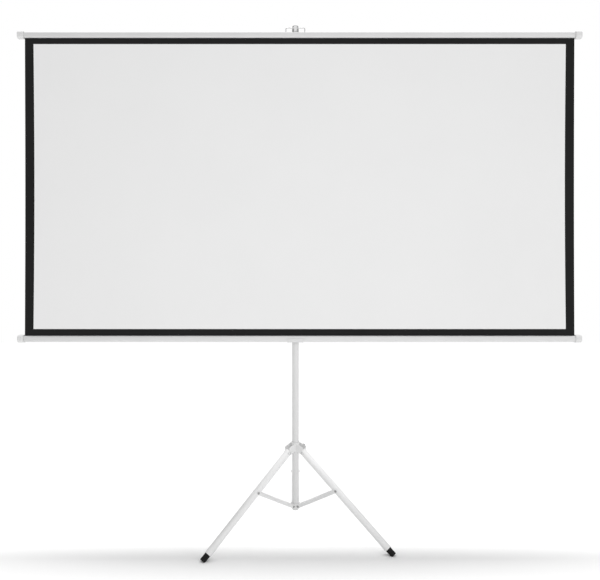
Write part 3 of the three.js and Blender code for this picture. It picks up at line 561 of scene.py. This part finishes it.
# %% Mast clamp
low, high = corners("mast_clamp")
outer, bottom, top = (high - low)[0] / 2, low[2], high[2]
snug, easy, shelf = MAST_RADIUS + 0.3, UPPER_RADIUS + 0.4, mast_high[2] + 0.3
ring = softened([
    (snug, bottom), (outer - 1.5, bottom), (outer, bottom + 3), (outer, bottom + 8), (outer - 1, bottom + 9),
    (outer - 1, bottom + 11), (outer, bottom + 12), (outer, top - 3), (outer - 2, top), (easy, top),
    (easy, shelf), (snug, shelf)], 0.5, 3)
parts = [on_mast(turned(ring, loop=True)), stood_along(boss(15, 29.2), *screw_line("clamp_knob_turn"))]
piece("mast_collar", fused("mast_collar", parts), "mast", cap_plastic, ["mast_clamp"])

# %% Carriage sleeve


def mast_bore(low, high, gap):
    """A rod to bore a collar with: as thick as the mast and a gap, and a little longer than the collar."""
    return on_mast(turned([(MAST_RADIUS + gap, low[2] - 5), (MAST_RADIUS + gap, high[2] + 5)]))


low, high = corners("carriage_sleeve")
back = MAST_RADIUS + 5
half = np.array([(22, -back), (22, -7), (back, 0), (14.8, 12), (7.4, 17.6)])
outline = softened([(-22, -back), *half, (0, back), *half[:0:-1] * (-1, 1)], 5, 5)
block = on_mast(bar(outline, low[2], high[2], 1.0))
parts = [block, stood_along(boss(16, 31), *screw_line("carriage_knob_turn"))]
mesh = fused("case_carriage", parts, [mast_bore(low, high, 0.4)])
piece("case_carriage", mesh, "carriage", cap_plastic, ["carriage_sleeve"])

# %% [markdown]
# ## Hook and bail
#
# The screen hangs by a wire bail from a hook at the top of the mast. The hook is moulded in one piece with
# the cap of the tube: a turned dome and a tongue that turns up at its tip. The wire is a circle carried
# along a path with bent corners; its feet lie along the back of the slat under two pressed clips.
# Its dome is a darker grey, as painted shade on its sides, and its tongue a lighter grey, as a painted
# highlight.

# %% Hook cap
low, high = corners("hook_cap")
HOOK_RADIUS, HOOK_BORE = UPPER_RADIUS + 1.8, UPPER_RADIUS + 0.3
shelf, top = high[2] - 15, high[2]
shell = softened([(0.4, shelf), (HOOK_BORE, shelf), (HOOK_BORE, low[2]), (HOOK_RADIUS, low[2]),
                  (HOOK_RADIUS, top), (0.4, top)], [0.3, 0.5, 0.5, 8], 8, False)
front, root = low[1] - AXIS[1], -UPPER_RADIUS - 1
under, seat, tip, lip = 2141.7, 2152.7, 2162.75, front + 3.5
tongue = softened([(root, under), (root, seat), (lip, seat), (lip, tip), (front, tip), (front, under)],
                  [0, 0, 0.4, 1.6, 1.6, 3.5], 5)
tongue = placed(bar(tongue, -6, 6, 0.8), AXIS, Y, UP, X)
mesh = fused("mast_hook", [on_mast(turned(shell)), tongue])
hook = piece("mast_hook", mesh, "upper_mast", hook_painted_shade, ["hook_cap"])
# The tongue's faces get the lighter grey: a painted highlight down the front of the hook.
refinish(hook, tongue_painted_highlight, lambda middles: middles[:, 1] < AXIS[1] - HOOK_RADIUS)

# %% Bail
BAIL_WIDTH = 83


def wire(path, radius, around=16):
    """A round wire along a path that lies in an upright plane facing the viewer.

    Each ring lies across the path: its two directions are the depth, and the path's own direction turned by
    a right angle."""
    along = np.gradient(path, axis=0)
    along = along / np.linalg.norm(along, axis=1)[:, None]
    side = np.cross(along, Y)
    a = np.linspace(0, 2 * np.pi, around, endpoint=False)[None, :, None]
    return skin(path[:, None] + radius * (np.cos(a) * side[:, None] + np.sin(a) * Y))


low, high = corners("bail")
WIRE = (high - low)[1] / 2
wire_y, foot_z, top_z = (low + high)[1] / 2, low[2] + WIRE, high[2] - WIRE
half = BAIL_WIDTH / 2 - WIRE
left, right = AXIS[0] - half, AXIS[0] + half
route = softened([(low[0], wire_y, foot_z), (left, wire_y, foot_z), (left, wire_y, top_z),
                  (right, wire_y, top_z), (right, wire_y, foot_z), (high[0], wire_y, foot_z)], 5, 8, False)
skin_piece("wire_bail", wire(route, WIRE), "upper_mast", zinc_plate, ["bail"])

# %% Clips that hold the bail
STRAP, FLANGE = 1.2, 7
inside, outside = WIRE + 0.3, WIRE + 0.3 + STRAP
face, back = -WIRE, -WIRE + STRAP
clip = np.concatenate([
    [(face, -FLANGE), (back, -FLANGE), (back, -outside)], arc((0, 0), outside, -90, 90),
    [(back, outside), (back, FLANGE), (face, FLANGE), (face, inside)], arc((0, 0), inside, 90, -90),
    [(face, -inside)]])
screw = turned(softened([(0.2, -0.6), (1.6, -0.6), (1.6, 0.3), (0.9, 0.8), (0.2, 0.9)], 0.3, 3, False), 24)
for side in ("left", "right"):
    low, high = corners(f"bail_clip_{side}")
    middle = (low + high)[0] / 2
    origin = np.array([0, wire_y, foot_z])
    parts = [placed(bar(clip, low[0], high[0], 0.2, 2), origin, Y, UP, X)]
    parts += [stood_along(screw, (middle, wire_y + face + STRAP, foot_z + z), Y) for z in (-5.2, 5.2)]
    name = f"bail_strap_{side}"
    piece(name, fused(name, parts), "upper_mast", zinc_plate, [f"bail_clip_{side}"])

# %% [markdown]
# ## Slat and case
#
# Both bars are long hollow sections with a slot: the slat holds the hem of the fabric, and the case holds
# the roller. A section with a slot is a single outline, down the outside and back along the inside, so each
# bar is one outline carried from end to end.

# %% Slotted sections


def slotted(half_depth, half_height, corner, wall, slot_middle, slot):
    """The outline of a rounded hollow section with a slot in its top, starting at the slot's back edge.

    The outside runs round the four corners to the slot's front edge; where that edge lies on a corner, the
    corner's arc ends there. The inside runs back the same way, one wall further in."""

    def path(inset):
        y, z, r = half_depth - corner, half_height - corner, corner - inset
        cut = slot_middle - slot / 2
        last = math.degrees(math.acos((cut + y) / r)) if cut < -y else 90
        back_edge = [(slot_middle + slot / 2, half_height - inset)]
        front_edge = [] if cut < -y else [(cut, half_height - inset)]
        quarters = [((y, z), 90, 0), ((y, -z), 0, -90), ((-y, -z), -90, -180), ((-y, z), 180, last)]
        arcs = [arc(middle, r, start, end) for middle, start, end in quarters]
        return np.concatenate([line for line in [back_edge, *arcs, front_edge] if len(line)])

    return np.concatenate([path(0), path(wall)[::-1]])


def long_bar(name, node, outline, body, finish, flip=1):
    """A bar of the screen: its outline about the middle of its node, carried over the node's length."""
    low, high = corners(node)
    middle = (low + high) / 2
    shape = placed(bar(outline * (1, flip), low[0], high[0], 0.3, 2), (0, middle[1], middle[2]), Y, UP, X)
    skin_piece(name, shape, body, finish, [node])


SLAT, CASE = (9, 11.75, 6), (15, 13.5, 9)  # half depth, half height and corner
SLAT_SLOT, CASE_SLOT, BAR_WALL = 2.4, 6, 1.2
low, high = corners("screen_fabric")
FABRIC_Y = (low + high)[1] / 2
FABRIC_LOW, FABRIC_HIGH = low[2], high[2]
HALF_FABRIC = high[0]
case_low, case_high = corners("case_shell")
CASE_Y = (case_low + case_high)[1] / 2
long_bar("slat_bar", "top_slat", slotted(*SLAT, BAR_WALL, 0, SLAT_SLOT), "upper_mast", slat_paint, -1)
case_outline = slotted(*CASE, BAR_WALL, FABRIC_Y - CASE_Y, CASE_SLOT)
long_bar("screen_case", "case_shell", case_outline, "carriage", case_paint)

# %% End caps


def end_cap(depth, height, corner, wall, length, pocket):
    """A cap for the end of a bar, as a row of rounded rectangles along its length.

    The first is the floor of the pocket; the pocket opens at the mouth, the rim rolls over to the outside,
    where a shallow groove runs round, and at the far end the outside draws in as a quarter circle turns and
    closes."""
    q = np.linspace(0, np.pi / 2, 7)
    roll, rim = 4.5, 0.7
    rim_in, rim_on = rim * (1 - np.sin(q[1:4])), rim * (1 - np.cos(q[1:4]))
    far_in, far_on = roll * (1 - np.cos(q)), length - roll + roll * np.sin(q)
    inset = np.concatenate([[wall, wall, wall - rim], rim_in, [0, 0, 0.5, 0.5, 0], far_in])
    along = np.concatenate([[pocket, rim, 0], rim_on, [2, 4, 4.4, 5.6, 6], far_on])
    rings = [rounded_rectangle(depth - i, height - i, max(corner - i, 0.6)) for i in inset]
    rings = np.stack([np.column_stack([ring, np.full(len(ring), x)]) for ring, x in zip(rings, along)])
    return skin(rings)


POCKET, FIT = 14.3, 0.3
for bar_name, body, section, wall in (("slat", "upper_mast", SLAT, 3.4), ("case", "carriage", CASE, 2.2)):
    for side, way in (("left", -1), ("right", 1)):
        low, high = corners(f"{bar_name}_cap_{side}")
        start = low[0] if way == 1 else high[0]
        outside = [size + (FIT + wall) for size in section]
        cap = end_cap(*outside, wall, (high - low)[0], POCKET)
        middle = (low + high) / 2
        shape = placed(cap, (start, middle[1], middle[2]), Y, UP, way * X)
        name = f"{bar_name}_end_{side}"
        skin_piece(name, shape, body, cap_plastic, [f"{bar_name}_cap_{side}"])

# %% [markdown]
# ## Saddle, bolt and stop screw
#
# The case lies in a saddle of bent sheet metal: up the back, under the case and a little way up the front. A
# bolt holds the saddle to the carriage, and a screw in the mast stops the carriage from sliding down.

# %% Saddle
low, high = corners("case_saddle")
SHEET = 1.6
(_, front, bottom), (_, back, top) = low, high
lip = bottom + 17
saddle = softened([(back, top), (back, bottom), (front, bottom), (front, lip), (front + SHEET, lip),
                   (front + SHEET, bottom + SHEET), (back - SHEET, bottom + SHEET), (back - SHEET, top)],
                  [0.4, 10.9, 10.9, 0.7, 0.7, 9.3, 9.3, 0.4], 8)
shape = placed(bar(saddle, low[0], high[0], 0.5), (0, 0, 0), Y, UP, X)
skin_piece("saddle_strip", shape, "carriage", case_paint, ["case_saddle"])

# %% Bolt
low, high = corners("case_pivot_bolt")
length = (high - low)[1]
bolt = softened([(0.3, 0), (4.5, 0), (6, 1.2), (6, 3.5), (3, 3.5), (3, length), (0.3, length)], 0.5, 3, False)
shape = stood_along(turned(bolt, 48), (AXIS[0], low[1], (low + high)[2] / 2), Y)
skin_piece("saddle_bolt", shape, "carriage", zinc_plate, ["case_pivot_bolt"])

# %% Stop screw
STOP_ANGLE = math.radians(240)
direction = np.array([math.cos(STOP_ANGLE), math.sin(STOP_ANGLE), 0])
low, high = corners("carriage_stop")
middle = AXIS + direction * (MAST_RADIUS + 0.3) + (low + high) / 2 * UP
head = turned(softened([(0.3, 0), (4, 0), (4, 1.6), (2.6, 2.8), (0.3, 3)], 0.8, 4, False), 48)
slots = [stood_along(bar(rounded_rectangle(a, b, 0.2, 2), 2, 4, 0.05), middle, direction)
         for a, b in ((2, 0.45), (0.45, 2))]
mesh = fused("stop_screw", [stood_along(head, middle, direction)], slots)
piece("stop_screw", mesh, "mast", zinc_plate, ["carriage_stop"])

# %% [markdown]
# ## Hub, bracket and braces
#
# The hub is a sleeve with a pair of pressed ears for each leg, the bracket a collar with three lugs, and each
# brace a channel of bent sheet: two side plates and a web. All three are flat outlines given a thickness,
# with rims drawn in a little, and fused.

# %% Hub
LEG_RADIUS, HUB_RADIUS, EAR = 14, 17.4, 3
PLATE = LEG_RADIUS + 0.4


def collar(radius, low, high):
    """A short rod on the line of the mast, with soft rims, to be bored later."""
    return on_mast(turned(softened([(0.4, low), (radius, low), (radius, high), (0.4, high)], 0.8, 3, False)))


low, high = corners("leg_hub")
pivot = pivot_of("leg_left_hinge")
reach, pivot_z = np.linalg.norm((pivot - AXIS)[:2]), pivot[2]
nose = arc((reach, pivot_z), 7, -120, 60, 16)
ear = softened([(4.5, pivot_z + 11), *nose, (reach, pivot_z + 9.5), (reach + 2.5, pivot_z + 23.5),
                (4.5, high[2])], [0] * 18 + [1.5, 2.5, 0])
parts = [collar(HUB_RADIUS, pivot_z + 6, high[2]), stood_along(boss(16, 31), *screw_line("hub_knob_turn"))]
for side in SIDES:
    out, across, _ = tripod_side(side)
    parts += [placed(bar(ear, start, start + EAR, 0.5, 2, 0.8), AXIS, out, UP, across)
              for start in (-PLATE - EAR, PLATE)]
mesh = fused("tripod_hub", parts, [mast_bore(low, high, 0.4)])
piece("tripod_hub", mesh, "hub", pressed_paint, ["leg_hub"])

# %% Bracket
LUG_RADIUS = 6
low, high = corners("brace_bracket")
pivot = pivot_of("brace_left_hinge")
lug_reach, lug_root = np.linalg.norm((pivot - AXIS)[:2]), 8
lug = np.concatenate([[(lug_root, -LUG_RADIUS)], arc((lug_reach, 0), LUG_RADIUS, -90, 90, 16),
                      [(lug_root, LUG_RADIUS)]])
level = AXIS + pivot[2] * UP
parts = [collar(MAST_RADIUS + 2.5, low[2], high[2])]
for side in SIDES:
    out, across, _ = tripod_side(side)
    parts.append(placed(bar(lug, -LEG_RADIUS, LEG_RADIUS, 0.6, 2, 0.8), level, out, UP, across))
mesh = fused("brace_collar", parts, [mast_bore(low, high, 0.3)])
piece("brace_collar", mesh, "mast", pressed_paint, ["brace_bracket"])

# %% Braces
BRACE_ON_LEG, HALF_BRACE, BRACE_SHEET = 205, 7, 2
HALF_WEB, WEB_FROM_MAST, WEB_FROM_LEG = 0.9, 30, 90
rivet = turned(softened([(0.3, 0), (4.9, 0), (4.9, 0.8), (3.2, 1.9), (0.3, 2)], 0.8, 4, False), 40)
pin_hole = turned([(2.8, -20), (2.8, 20)], 32)
for side in SIDES:
    _, across, down = tripod_side(side)
    foot = pivot_of(f"brace_{side}_hinge")
    end = pivot_of(f"leg_{side}_hinge") + BRACE_ON_LEG * down
    length = np.linalg.norm(end - foot)
    along = (end - foot) / length
    over = np.cross(along, across)
    over = over * np.sign(over @ UP)
    plate = np.concatenate([arc((0, 0), HALF_BRACE, 90, 270, 14), arc((length, 0), HALF_BRACE, -90, 90, 14)])
    web = rounded_rectangle((length - (WEB_FROM_MAST + WEB_FROM_LEG)) / 2, HALF_WEB, 0.3, 2)
    web = web + ((length - (WEB_FROM_LEG - WEB_FROM_MAST)) / 2, HALF_BRACE - HALF_WEB)
    parts = [placed(bar(plate, start, start + BRACE_SHEET, 0.3, 2, 1.0), foot, along, over, across)
             for start in (-PLATE - BRACE_SHEET, PLATE)]
    parts.append(placed(bar(web, -PLATE - 1.6, PLATE + 1.6, 0.1, 1), foot, along, over, across))
    parts += [stood_along(rivet, end + way * (PLATE + 1.9) * across, way * across) for way in (-1, 1)]
    name = f"brace_channel_{side}"
    mesh = fused(name, parts, [stood_along(pin_hole, foot, across)])
    brace = piece(name, mesh, f"brace_{side}", pressed_paint, [f"brace_{side}"])
    outside = PLATE + BRACE_SHEET + 0.01
    refinish(brace, rivet_steel, lambda middles: np.abs((middles - foot) @ across) > outside)

# %% [markdown]
# ## Legs, feet and pins
#
# A leg is a tube between the ears of the hub, with a black foot pushed into its end. The foot is turned like
# the tube and then cut by the floor, which gives it the flat sole that it stands on. Riveted pins hold legs
# and braces.

# %% Legs and feet
LEG_WALL, FOOT_RADIUS, FOOT_LENGTH = 1.2, 12, 31
PLUG_RADIUS, PLUG_LENGTH, GROOVES = 12.4, 20, 3
foot_end = (pivot_z - 2.5) / math.cos(LEG_SPREAD)
leg_end, foot_top = foot_end - 31.3, foot_end - FOOT_LENGTH
groove = np.array([(11.4, 6), (11.4, 7.5), (FOOT_RADIUS, 8.5), (FOOT_RADIUS, 10)])
grooves = np.concatenate([groove + (0, 5 * k) for k in range(GROOVES)])[:-1] + (0, foot_top)
plug_top = foot_top - PLUG_LENGTH
foot_line = softened([(0.4, plug_top), (PLUG_RADIUS, plug_top), (PLUG_RADIUS, foot_top - 0.4),
                      (FOOT_RADIUS, foot_top), (FOOT_RADIUS, foot_top + 5), *grooves, (FOOT_RADIUS, foot_end),
                      (0.4, foot_end)], 0.5, 3, False)
for side in SIDES:
    _, _, down = tripod_side(side)
    pivot = pivot_of(f"leg_{side}_hinge")
    shape = stood_along(tube(LEG_RADIUS - LEG_WALL, LEG_RADIUS, -10, leg_end), pivot, down)
    name = f"leg_tube_{side}"
    skin_piece(name, shape, f"leg_{side}", tube_paint, [f"leg_{side}"])
    mesh = mesh_of(f"rubber_foot_{side}", [stood_along(turned(foot_line), pivot, down)])
    work = bmesh.new()
    work.from_mesh(mesh)
    whole = [*work.verts, *work.edges, *work.faces]
    bmesh.ops.bisect_plane(work, geom=whole, plane_co=(0, 0, 0), plane_no=(0, 0, -1), clear_outer=True)
    bmesh.ops.holes_fill(work, edges=[e for e in work.edges if e.is_boundary])
    bmesh.ops.recalc_face_normals(work, faces=work.faces)
    work.to_mesh(mesh)
    work.free()
    piece(f"rubber_foot_{side}", mesh, f"leg_{side}", foot_rubber, [f"foot_{side}"])

# %% Riveted pins


def rivet_pin(shaft, head_from):
    """A pin with a domed head at each end: half of its profile, mirrored about the middle."""
    half = softened([(shaft, 0), (shaft, head_from), (shaft + 2.4, head_from), (shaft + 2.4, head_from + 0.9),
                     (shaft, head_from + 1.9), (0.3, head_from + 2)], 0.5, 3, False)[1:]
    return turned(np.concatenate([half[::-1] * (1, -1), half]), 40)


for side in SIDES:
    _, across, _ = tripod_side(side)
    for kind, body, finish, part in (
        ("leg", "hub", zinc_plate, rivet_pin(3, PLATE + 3.3)),
        ("brace", "mast", rivet_steel, rivet_pin(2.5, PLATE + 2.3)),
    ):
        name = f"{kind}_rivet_{side}"
        shape = stood_along(part, pivot_of(f"{kind}_{side}_hinge"), across)
        skin_piece(name, shape, body, finish, [f"{kind}_pin_{side}"])

# %% [markdown]
# ## The fabric
#
# The sheet is coated cloth: matt white in front, black behind, with a black border printed round the
# picture. Pulled tight, it draws in a little at half height and its free edges curl a hair's breadth. When
# the mast comes down, the lower part winds onto the roller, and when the case goes up, the part above it
# gets shorter. So the sheet is made in parts of one plane, each riding on the body that carries it.
# The top border is a strip of its own that stays as high as it is printed.

# %% Cloth finish


def cloth(name, tint, clouds, weave, shine):
    """Woven cloth under a matt coat: two crossed bands of threads, and soft clouds in the tone.

    The bands run along the piece's own map, which is in metres, so a thread keeps its width: a wave repeats
    after pi / 10 divided by its scale."""
    material, tree, surface = fresh_material(name)
    material["record_slot"] = "screen_cloth"
    place = add(tree, "UVMap", "UV", {}, uv_map="cloth")
    cloud = add(tree, "TexNoise", "Fac", {"Vector": place, "Scale": 3})
    tone = toned(tree, cloud, ((0.3, tint * (1 - clouds)), (0.7, tint * (1 + clouds))))
    thread = {"Vector": place, "Scale": math.pi / 10 / weave}
    bands = [add(tree, "TexWave", "Fac", thread, bands_direction=way) for way in ("X", "Y")]
    crossing = add(tree, "Math", "Value", {0: bands[0], 1: bands[1]}, operation="MAXIMUM")
    lift = add(tree, "Bump", "Normal", {"Strength": 0.12, "Distance": 0.0001, "Height": crossing})
    rough = add(tree, "MapRange", "Result", {"Value": crossing, "To Min": 0.85, "To Max": 0.95})
    feed(surface, {"Specular IOR Level": shine, "Base Color": tone, "Roughness": rough, "Normal": lift})
    return material


screen_white = cloth("screen_white", 0.728, 0.006, 0.0008, 0.15)
border_black = cloth("border_black", 0.014, 0.1, 0.0008, 0.08)
backing_black = cloth("backing_black", 0.02, 0.1, 0.0012, 0.1)
print("cloths:", ", ".join(m.name for m in (screen_white, border_black, backing_black)))

# %% Cloth surface
CASE_TOP, SLAT_BOTTOM = case_high[2], corners("top_slat")[0][2]
HALF_PICTURE = 2230 / 2
TOP_BORDER, BOTTOM_BORDER = 25, 27
PICTURE_TOP, PICTURE_BOTTOM = SLAT_BOTTOM - TOP_BORDER, CASE_TOP + BOTTOM_BORDER
THICKNESS = 0.3
PICTURE_BOW, EDGE_BOW, CURL, CURL_REACH = 4.0, 0.8, 2.2, 30
RIPPLE, RIPPLE_ACROSS, RIPPLE_DOWN = 0.5, 190, 500


def cloth_at(x, z):
    """Where the cloth is at a place on its flat cut.

    At half height the sides of the picture are drawn in by one bow, and the hemmed edges by a smaller one.
    The depth is a slow ripple plus a curl that dies away within a hand's breadth of the free edges. All of it
    follows the sine of the height, so that the cloth is flat and full width at the slat and at the case."""
    belly = np.sin(np.pi * np.clip((z - CASE_TOP) / (SLAT_BOTTOM - CASE_TOP), 0, 1))
    edge = np.exp((np.abs(x) - HALF_FABRIC) / CURL_REACH)
    ripple = np.sin(x / RIPPLE_ACROSS + z / RIPPLE_DOWN)
    y = FABRIC_Y + belly * (CURL * edge + RIPPLE * ripple)
    drawn_in = np.interp(np.abs(x), [0, HALF_PICTURE, HALF_FABRIC], [0, PICTURE_BOW, EDGE_BOW])
    return np.stack([x - np.sign(x) * drawn_in * belly, y, z], -1)


print("picture", 2 * HALF_PICTURE, "by", round(PICTURE_TOP - PICTURE_BOTTOM, 1), "mm")

# %% Parts of the sheet
SEAM_ABOVE_CASE = 3.2  # how far above the case the seam stops when the mast is down


def sheet_part(name, heights, body):
    """A sheet of cloth between two heights: a front and a back grid, sewn together round the rim."""
    border = np.linspace(HALF_PICTURE, HALF_FABRIC, 5)
    across = np.concatenate([-border[::-1], np.linspace(-HALF_PICTURE, HALF_PICTURE, 61)[1:-1], border])
    x, z = np.meshgrid(across, heights)
    front = cloth_at(x, z) - (0, THICKNESS / 2, 0)
    back = cloth_at(x, z) + (0, THICKNESS / 2, 0)
    rows, columns = x.shape
    number = np.arange(rows * columns).reshape(rows, columns)
    cells = np.stack([number[:-1, :-1], number[:-1, 1:], number[1:, 1:], number[1:, :-1]], -1).reshape(-1, 4)
    rim = np.concatenate([number[0, :-1], number[:-1, -1], number[-1, :0:-1], number[:0:-1, 0]])
    after = np.roll(rim, -1)
    sewn = np.stack([rim, rim + rows * columns, after + rows * columns, after], -1)
    faces = np.concatenate([cells, cells[:, ::-1] + rows * columns, sewn])
    mesh = mesh_of(name, [(np.concatenate([front, back]).reshape(-1, 3), faces.tolist())])
    middle_x, middle_z = (x[:-1, :-1] + x[1:, 1:]).ravel() / 2, (z[:-1, :-1] + z[1:, 1:]).ravel() / 2
    dark = (np.abs(middle_x) > HALF_PICTURE) | (middle_z > PICTURE_TOP) | (middle_z < PICTURE_BOTTOM)
    kind = np.concatenate([dark, np.full(len(cells), 2), np.ones(len(sewn))]).astype(np.int32)
    made = piece(name, mesh, body, screen_white, ["screen_fabric"])
    mesh.materials.append(border_black)
    mesh.materials.append(backing_black)
    mesh.polygons.foreach_set("material_index", kind)
    at = np.zeros(len(mesh.loops), np.int32)
    mesh.loops.foreach_get("vertex_index", at)
    flat = np.tile(np.stack([x, z], -1).reshape(-1, 2), (2, 1)) * MM
    mesh.uv_layers.new(name="cloth").data.foreach_set("uv", flat[at].astype(np.float32).ravel())
    return made


mast_travel = -joints["mast_slide"]["range_m"][0] / MM
seam = CASE_TOP + mast_travel + SEAM_ABOVE_CASE
bottom_border = np.linspace(CASE_TOP, PICTURE_BOTTOM, 4)
lower_rows = np.concatenate([[FABRIC_LOW], bottom_border, np.linspace(PICTURE_BOTTOM, seam, 26)[1:]])
upper_rows = np.linspace(seam, PICTURE_TOP, 9)
border_rows = np.concatenate([np.linspace(PICTURE_TOP, SLAT_BOTTOM, 4), [FABRIC_HIGH]])
lower_sheet = sheet_part("screen_lower", lower_rows, "carriage")
upper_sheet = sheet_part("screen_upper", upper_rows, "upper_mast")
top_border = sheet_part("screen_top_border", border_rows, "upper_mast")
print("seams at", round(seam, 1), "and", round(PICTURE_TOP, 1), "mm")

# %% Wraps left on the roller
ROLL_RADIUS, TURNS, PITCH, WRAP = 6.67, 2, 0.24, 0.18
low, high = corners("fabric_wraps")
middle = (low + high) / 2
turn = np.linspace(0, TURNS * 2 * np.pi, 121)
inside = ROLL_RADIUS + PITCH * turn / (2 * np.pi)
circle = np.stack([np.cos(turn), np.sin(turn)], 1)
spiral = np.concatenate([(inside + WRAP)[:, None] * circle, (inside[:, None] * circle)[::-1]])
shape = placed(bar(spiral, low[0], high[0], 0.02, 1), (0, middle[1], middle[2]), Y, UP, X)
wraps = skin_piece("rolled_cloth", shape, "roller", backing_black, ["fabric_wraps"])
wraps.data.uv_layers.new(name="cloth")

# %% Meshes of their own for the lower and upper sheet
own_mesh(lower_sheet)
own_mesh(upper_sheet)

# %% [markdown]
# ## Pieces inside
#
# Studs, roller, spindle and spring hardly show. Their shapes in the frame are right, so they only get the
# right finishes.

# %% Finishes of the inner pieces
inner = {
    zinc_plate: ["clamp_stud", "carriage_stud", "hub_stud", "roller_tube", "idler_pin", "spring_spindle"],
    knob_plastic: ["upper_end_plug", "hem_rod", "roller_plug_left", "roller_plug_right"],
    dark_spring: ["roller_spring"],
}
for finish, nodes in inner.items():
    for node in nodes:
        frame["nodes"][node].data.materials.clear()
        frame["nodes"][node].data.materials.append(finish)
print(sum(len(nodes) for nodes in inner.values()), "inner pieces")

# %% [markdown]
# ## Floor and light
#
# The photograph has a white ground and one wide soft shadow in front of the legs. A broad light high above,
# a little behind the screen, throws the screen's own shadow forward onto the floor. A weaker light in front
# brightens the middle of the cloth, a far one on the right gives the tubes a lighter and a darker side, and
# an even white surround fills the rest. Only the screen, the mast and the feet show in the shadow, so the
# slim pieces of the tripod let shadow rays pass.

# %% Floor
HALF_FLOOR, FLOOR_TONES = 9, (0.89, 0.905)
floor_mesh = bpy.data.meshes.new("pale_floor")
sides = np.array([(-1, -1, 0), (1, -1, 0), (1, 1, 0), (-1, 1, 0)])
floor_mesh.from_pydata(sides * HALF_FLOOR, [], [(0, 1, 2, 3)])
floor = bpy.data.objects.new("pale_floor", floor_mesh)
bpy.context.scene.collection.objects.link(floor)
pale, tree, surface = fresh_material("pale_floor")
place = add(tree, "TexCoord", "Object", {})
mottle = add(tree, "TexNoise", "Fac", {"Vector": place, "Scale": 2})
tone = toned(tree, mottle, zip((0, 1), FLOOR_TONES))
feed(surface, {"Base Color": tone, "Roughness": 0.9, "Specular IOR Level": 0.1})
floor_mesh.materials.append(pale)
print("floor", 2 * HALF_FLOOR, "metres square")

# %% Lights


def soft_box(name, place, target, width, depth, watts):
    """A rectangular light at a place, facing a target."""
    light = bpy.data.lights.new(name, "AREA")
    light.shape = "RECTANGLE"
    light.size, light.size_y, light.energy = width, depth, watts
    made = bpy.data.objects.new(name, light)
    turn = np.eye(4)
    turn[:3, :3] = np.transpose(square_to(np.subtract(place, target)))
    turn[:3, 3] = place
    made.matrix_world = turn.T.tolist()
    made.visible_camera = False
    bpy.context.scene.collection.objects.link(made)


soft_box("light_from_above", (0, 5.3, 40), (0, -0.15, 1.5), 54, 6.6, 13000)
soft_box("light_in_front", (0.15, -3.3, 1.5), (0, -0.15, 1.4), 2.0, 1.4, 21)
soft_box("light_from_the_right", (14, -14, 5), (0, -0.15, 1.2), 6, 6, 700)
print("three lights in place")

# %% White surround
SURROUND = 0.57
surround = bpy.data.worlds.new("white_surround")
surround.use_nodes = True
tree = surround.node_tree
lit = tree.nodes["Background"]
feed(lit, {"Color": grey(1), "Strength": SURROUND})
seen = add(tree, "Background", "Background", {"Color": grey(1)})
to_camera = add(tree, "LightPath", "Is Camera Ray", {})
either = add(tree, "MixShader", "Shader", {"Fac": to_camera, 1: lit.outputs["Background"], 2: seen})
feed(tree.nodes["World Output"], {"Surface": either})
bpy.context.scene.world = surround
bpy.context.scene.view_settings.view_transform = "Standard"
print("surround at", SURROUND, "of white, and white to the camera")

# %% Pieces that throw no shadow
slim = ["tripod_hub", "hub_clamp_knob", "brace_collar"]
kinds = ("leg_tube", "leg_rivet", "brace_channel", "brace_rivet")
slim += [f"{kind}_{side}" for kind in kinds for side in SIDES]
for name in slim:
    bpy.data.objects[name].visible_shadow = False
print(len(slim), "pieces of the tripod throw no shadow")

# %% Last update of the scene
bpy.context.view_layer.update()
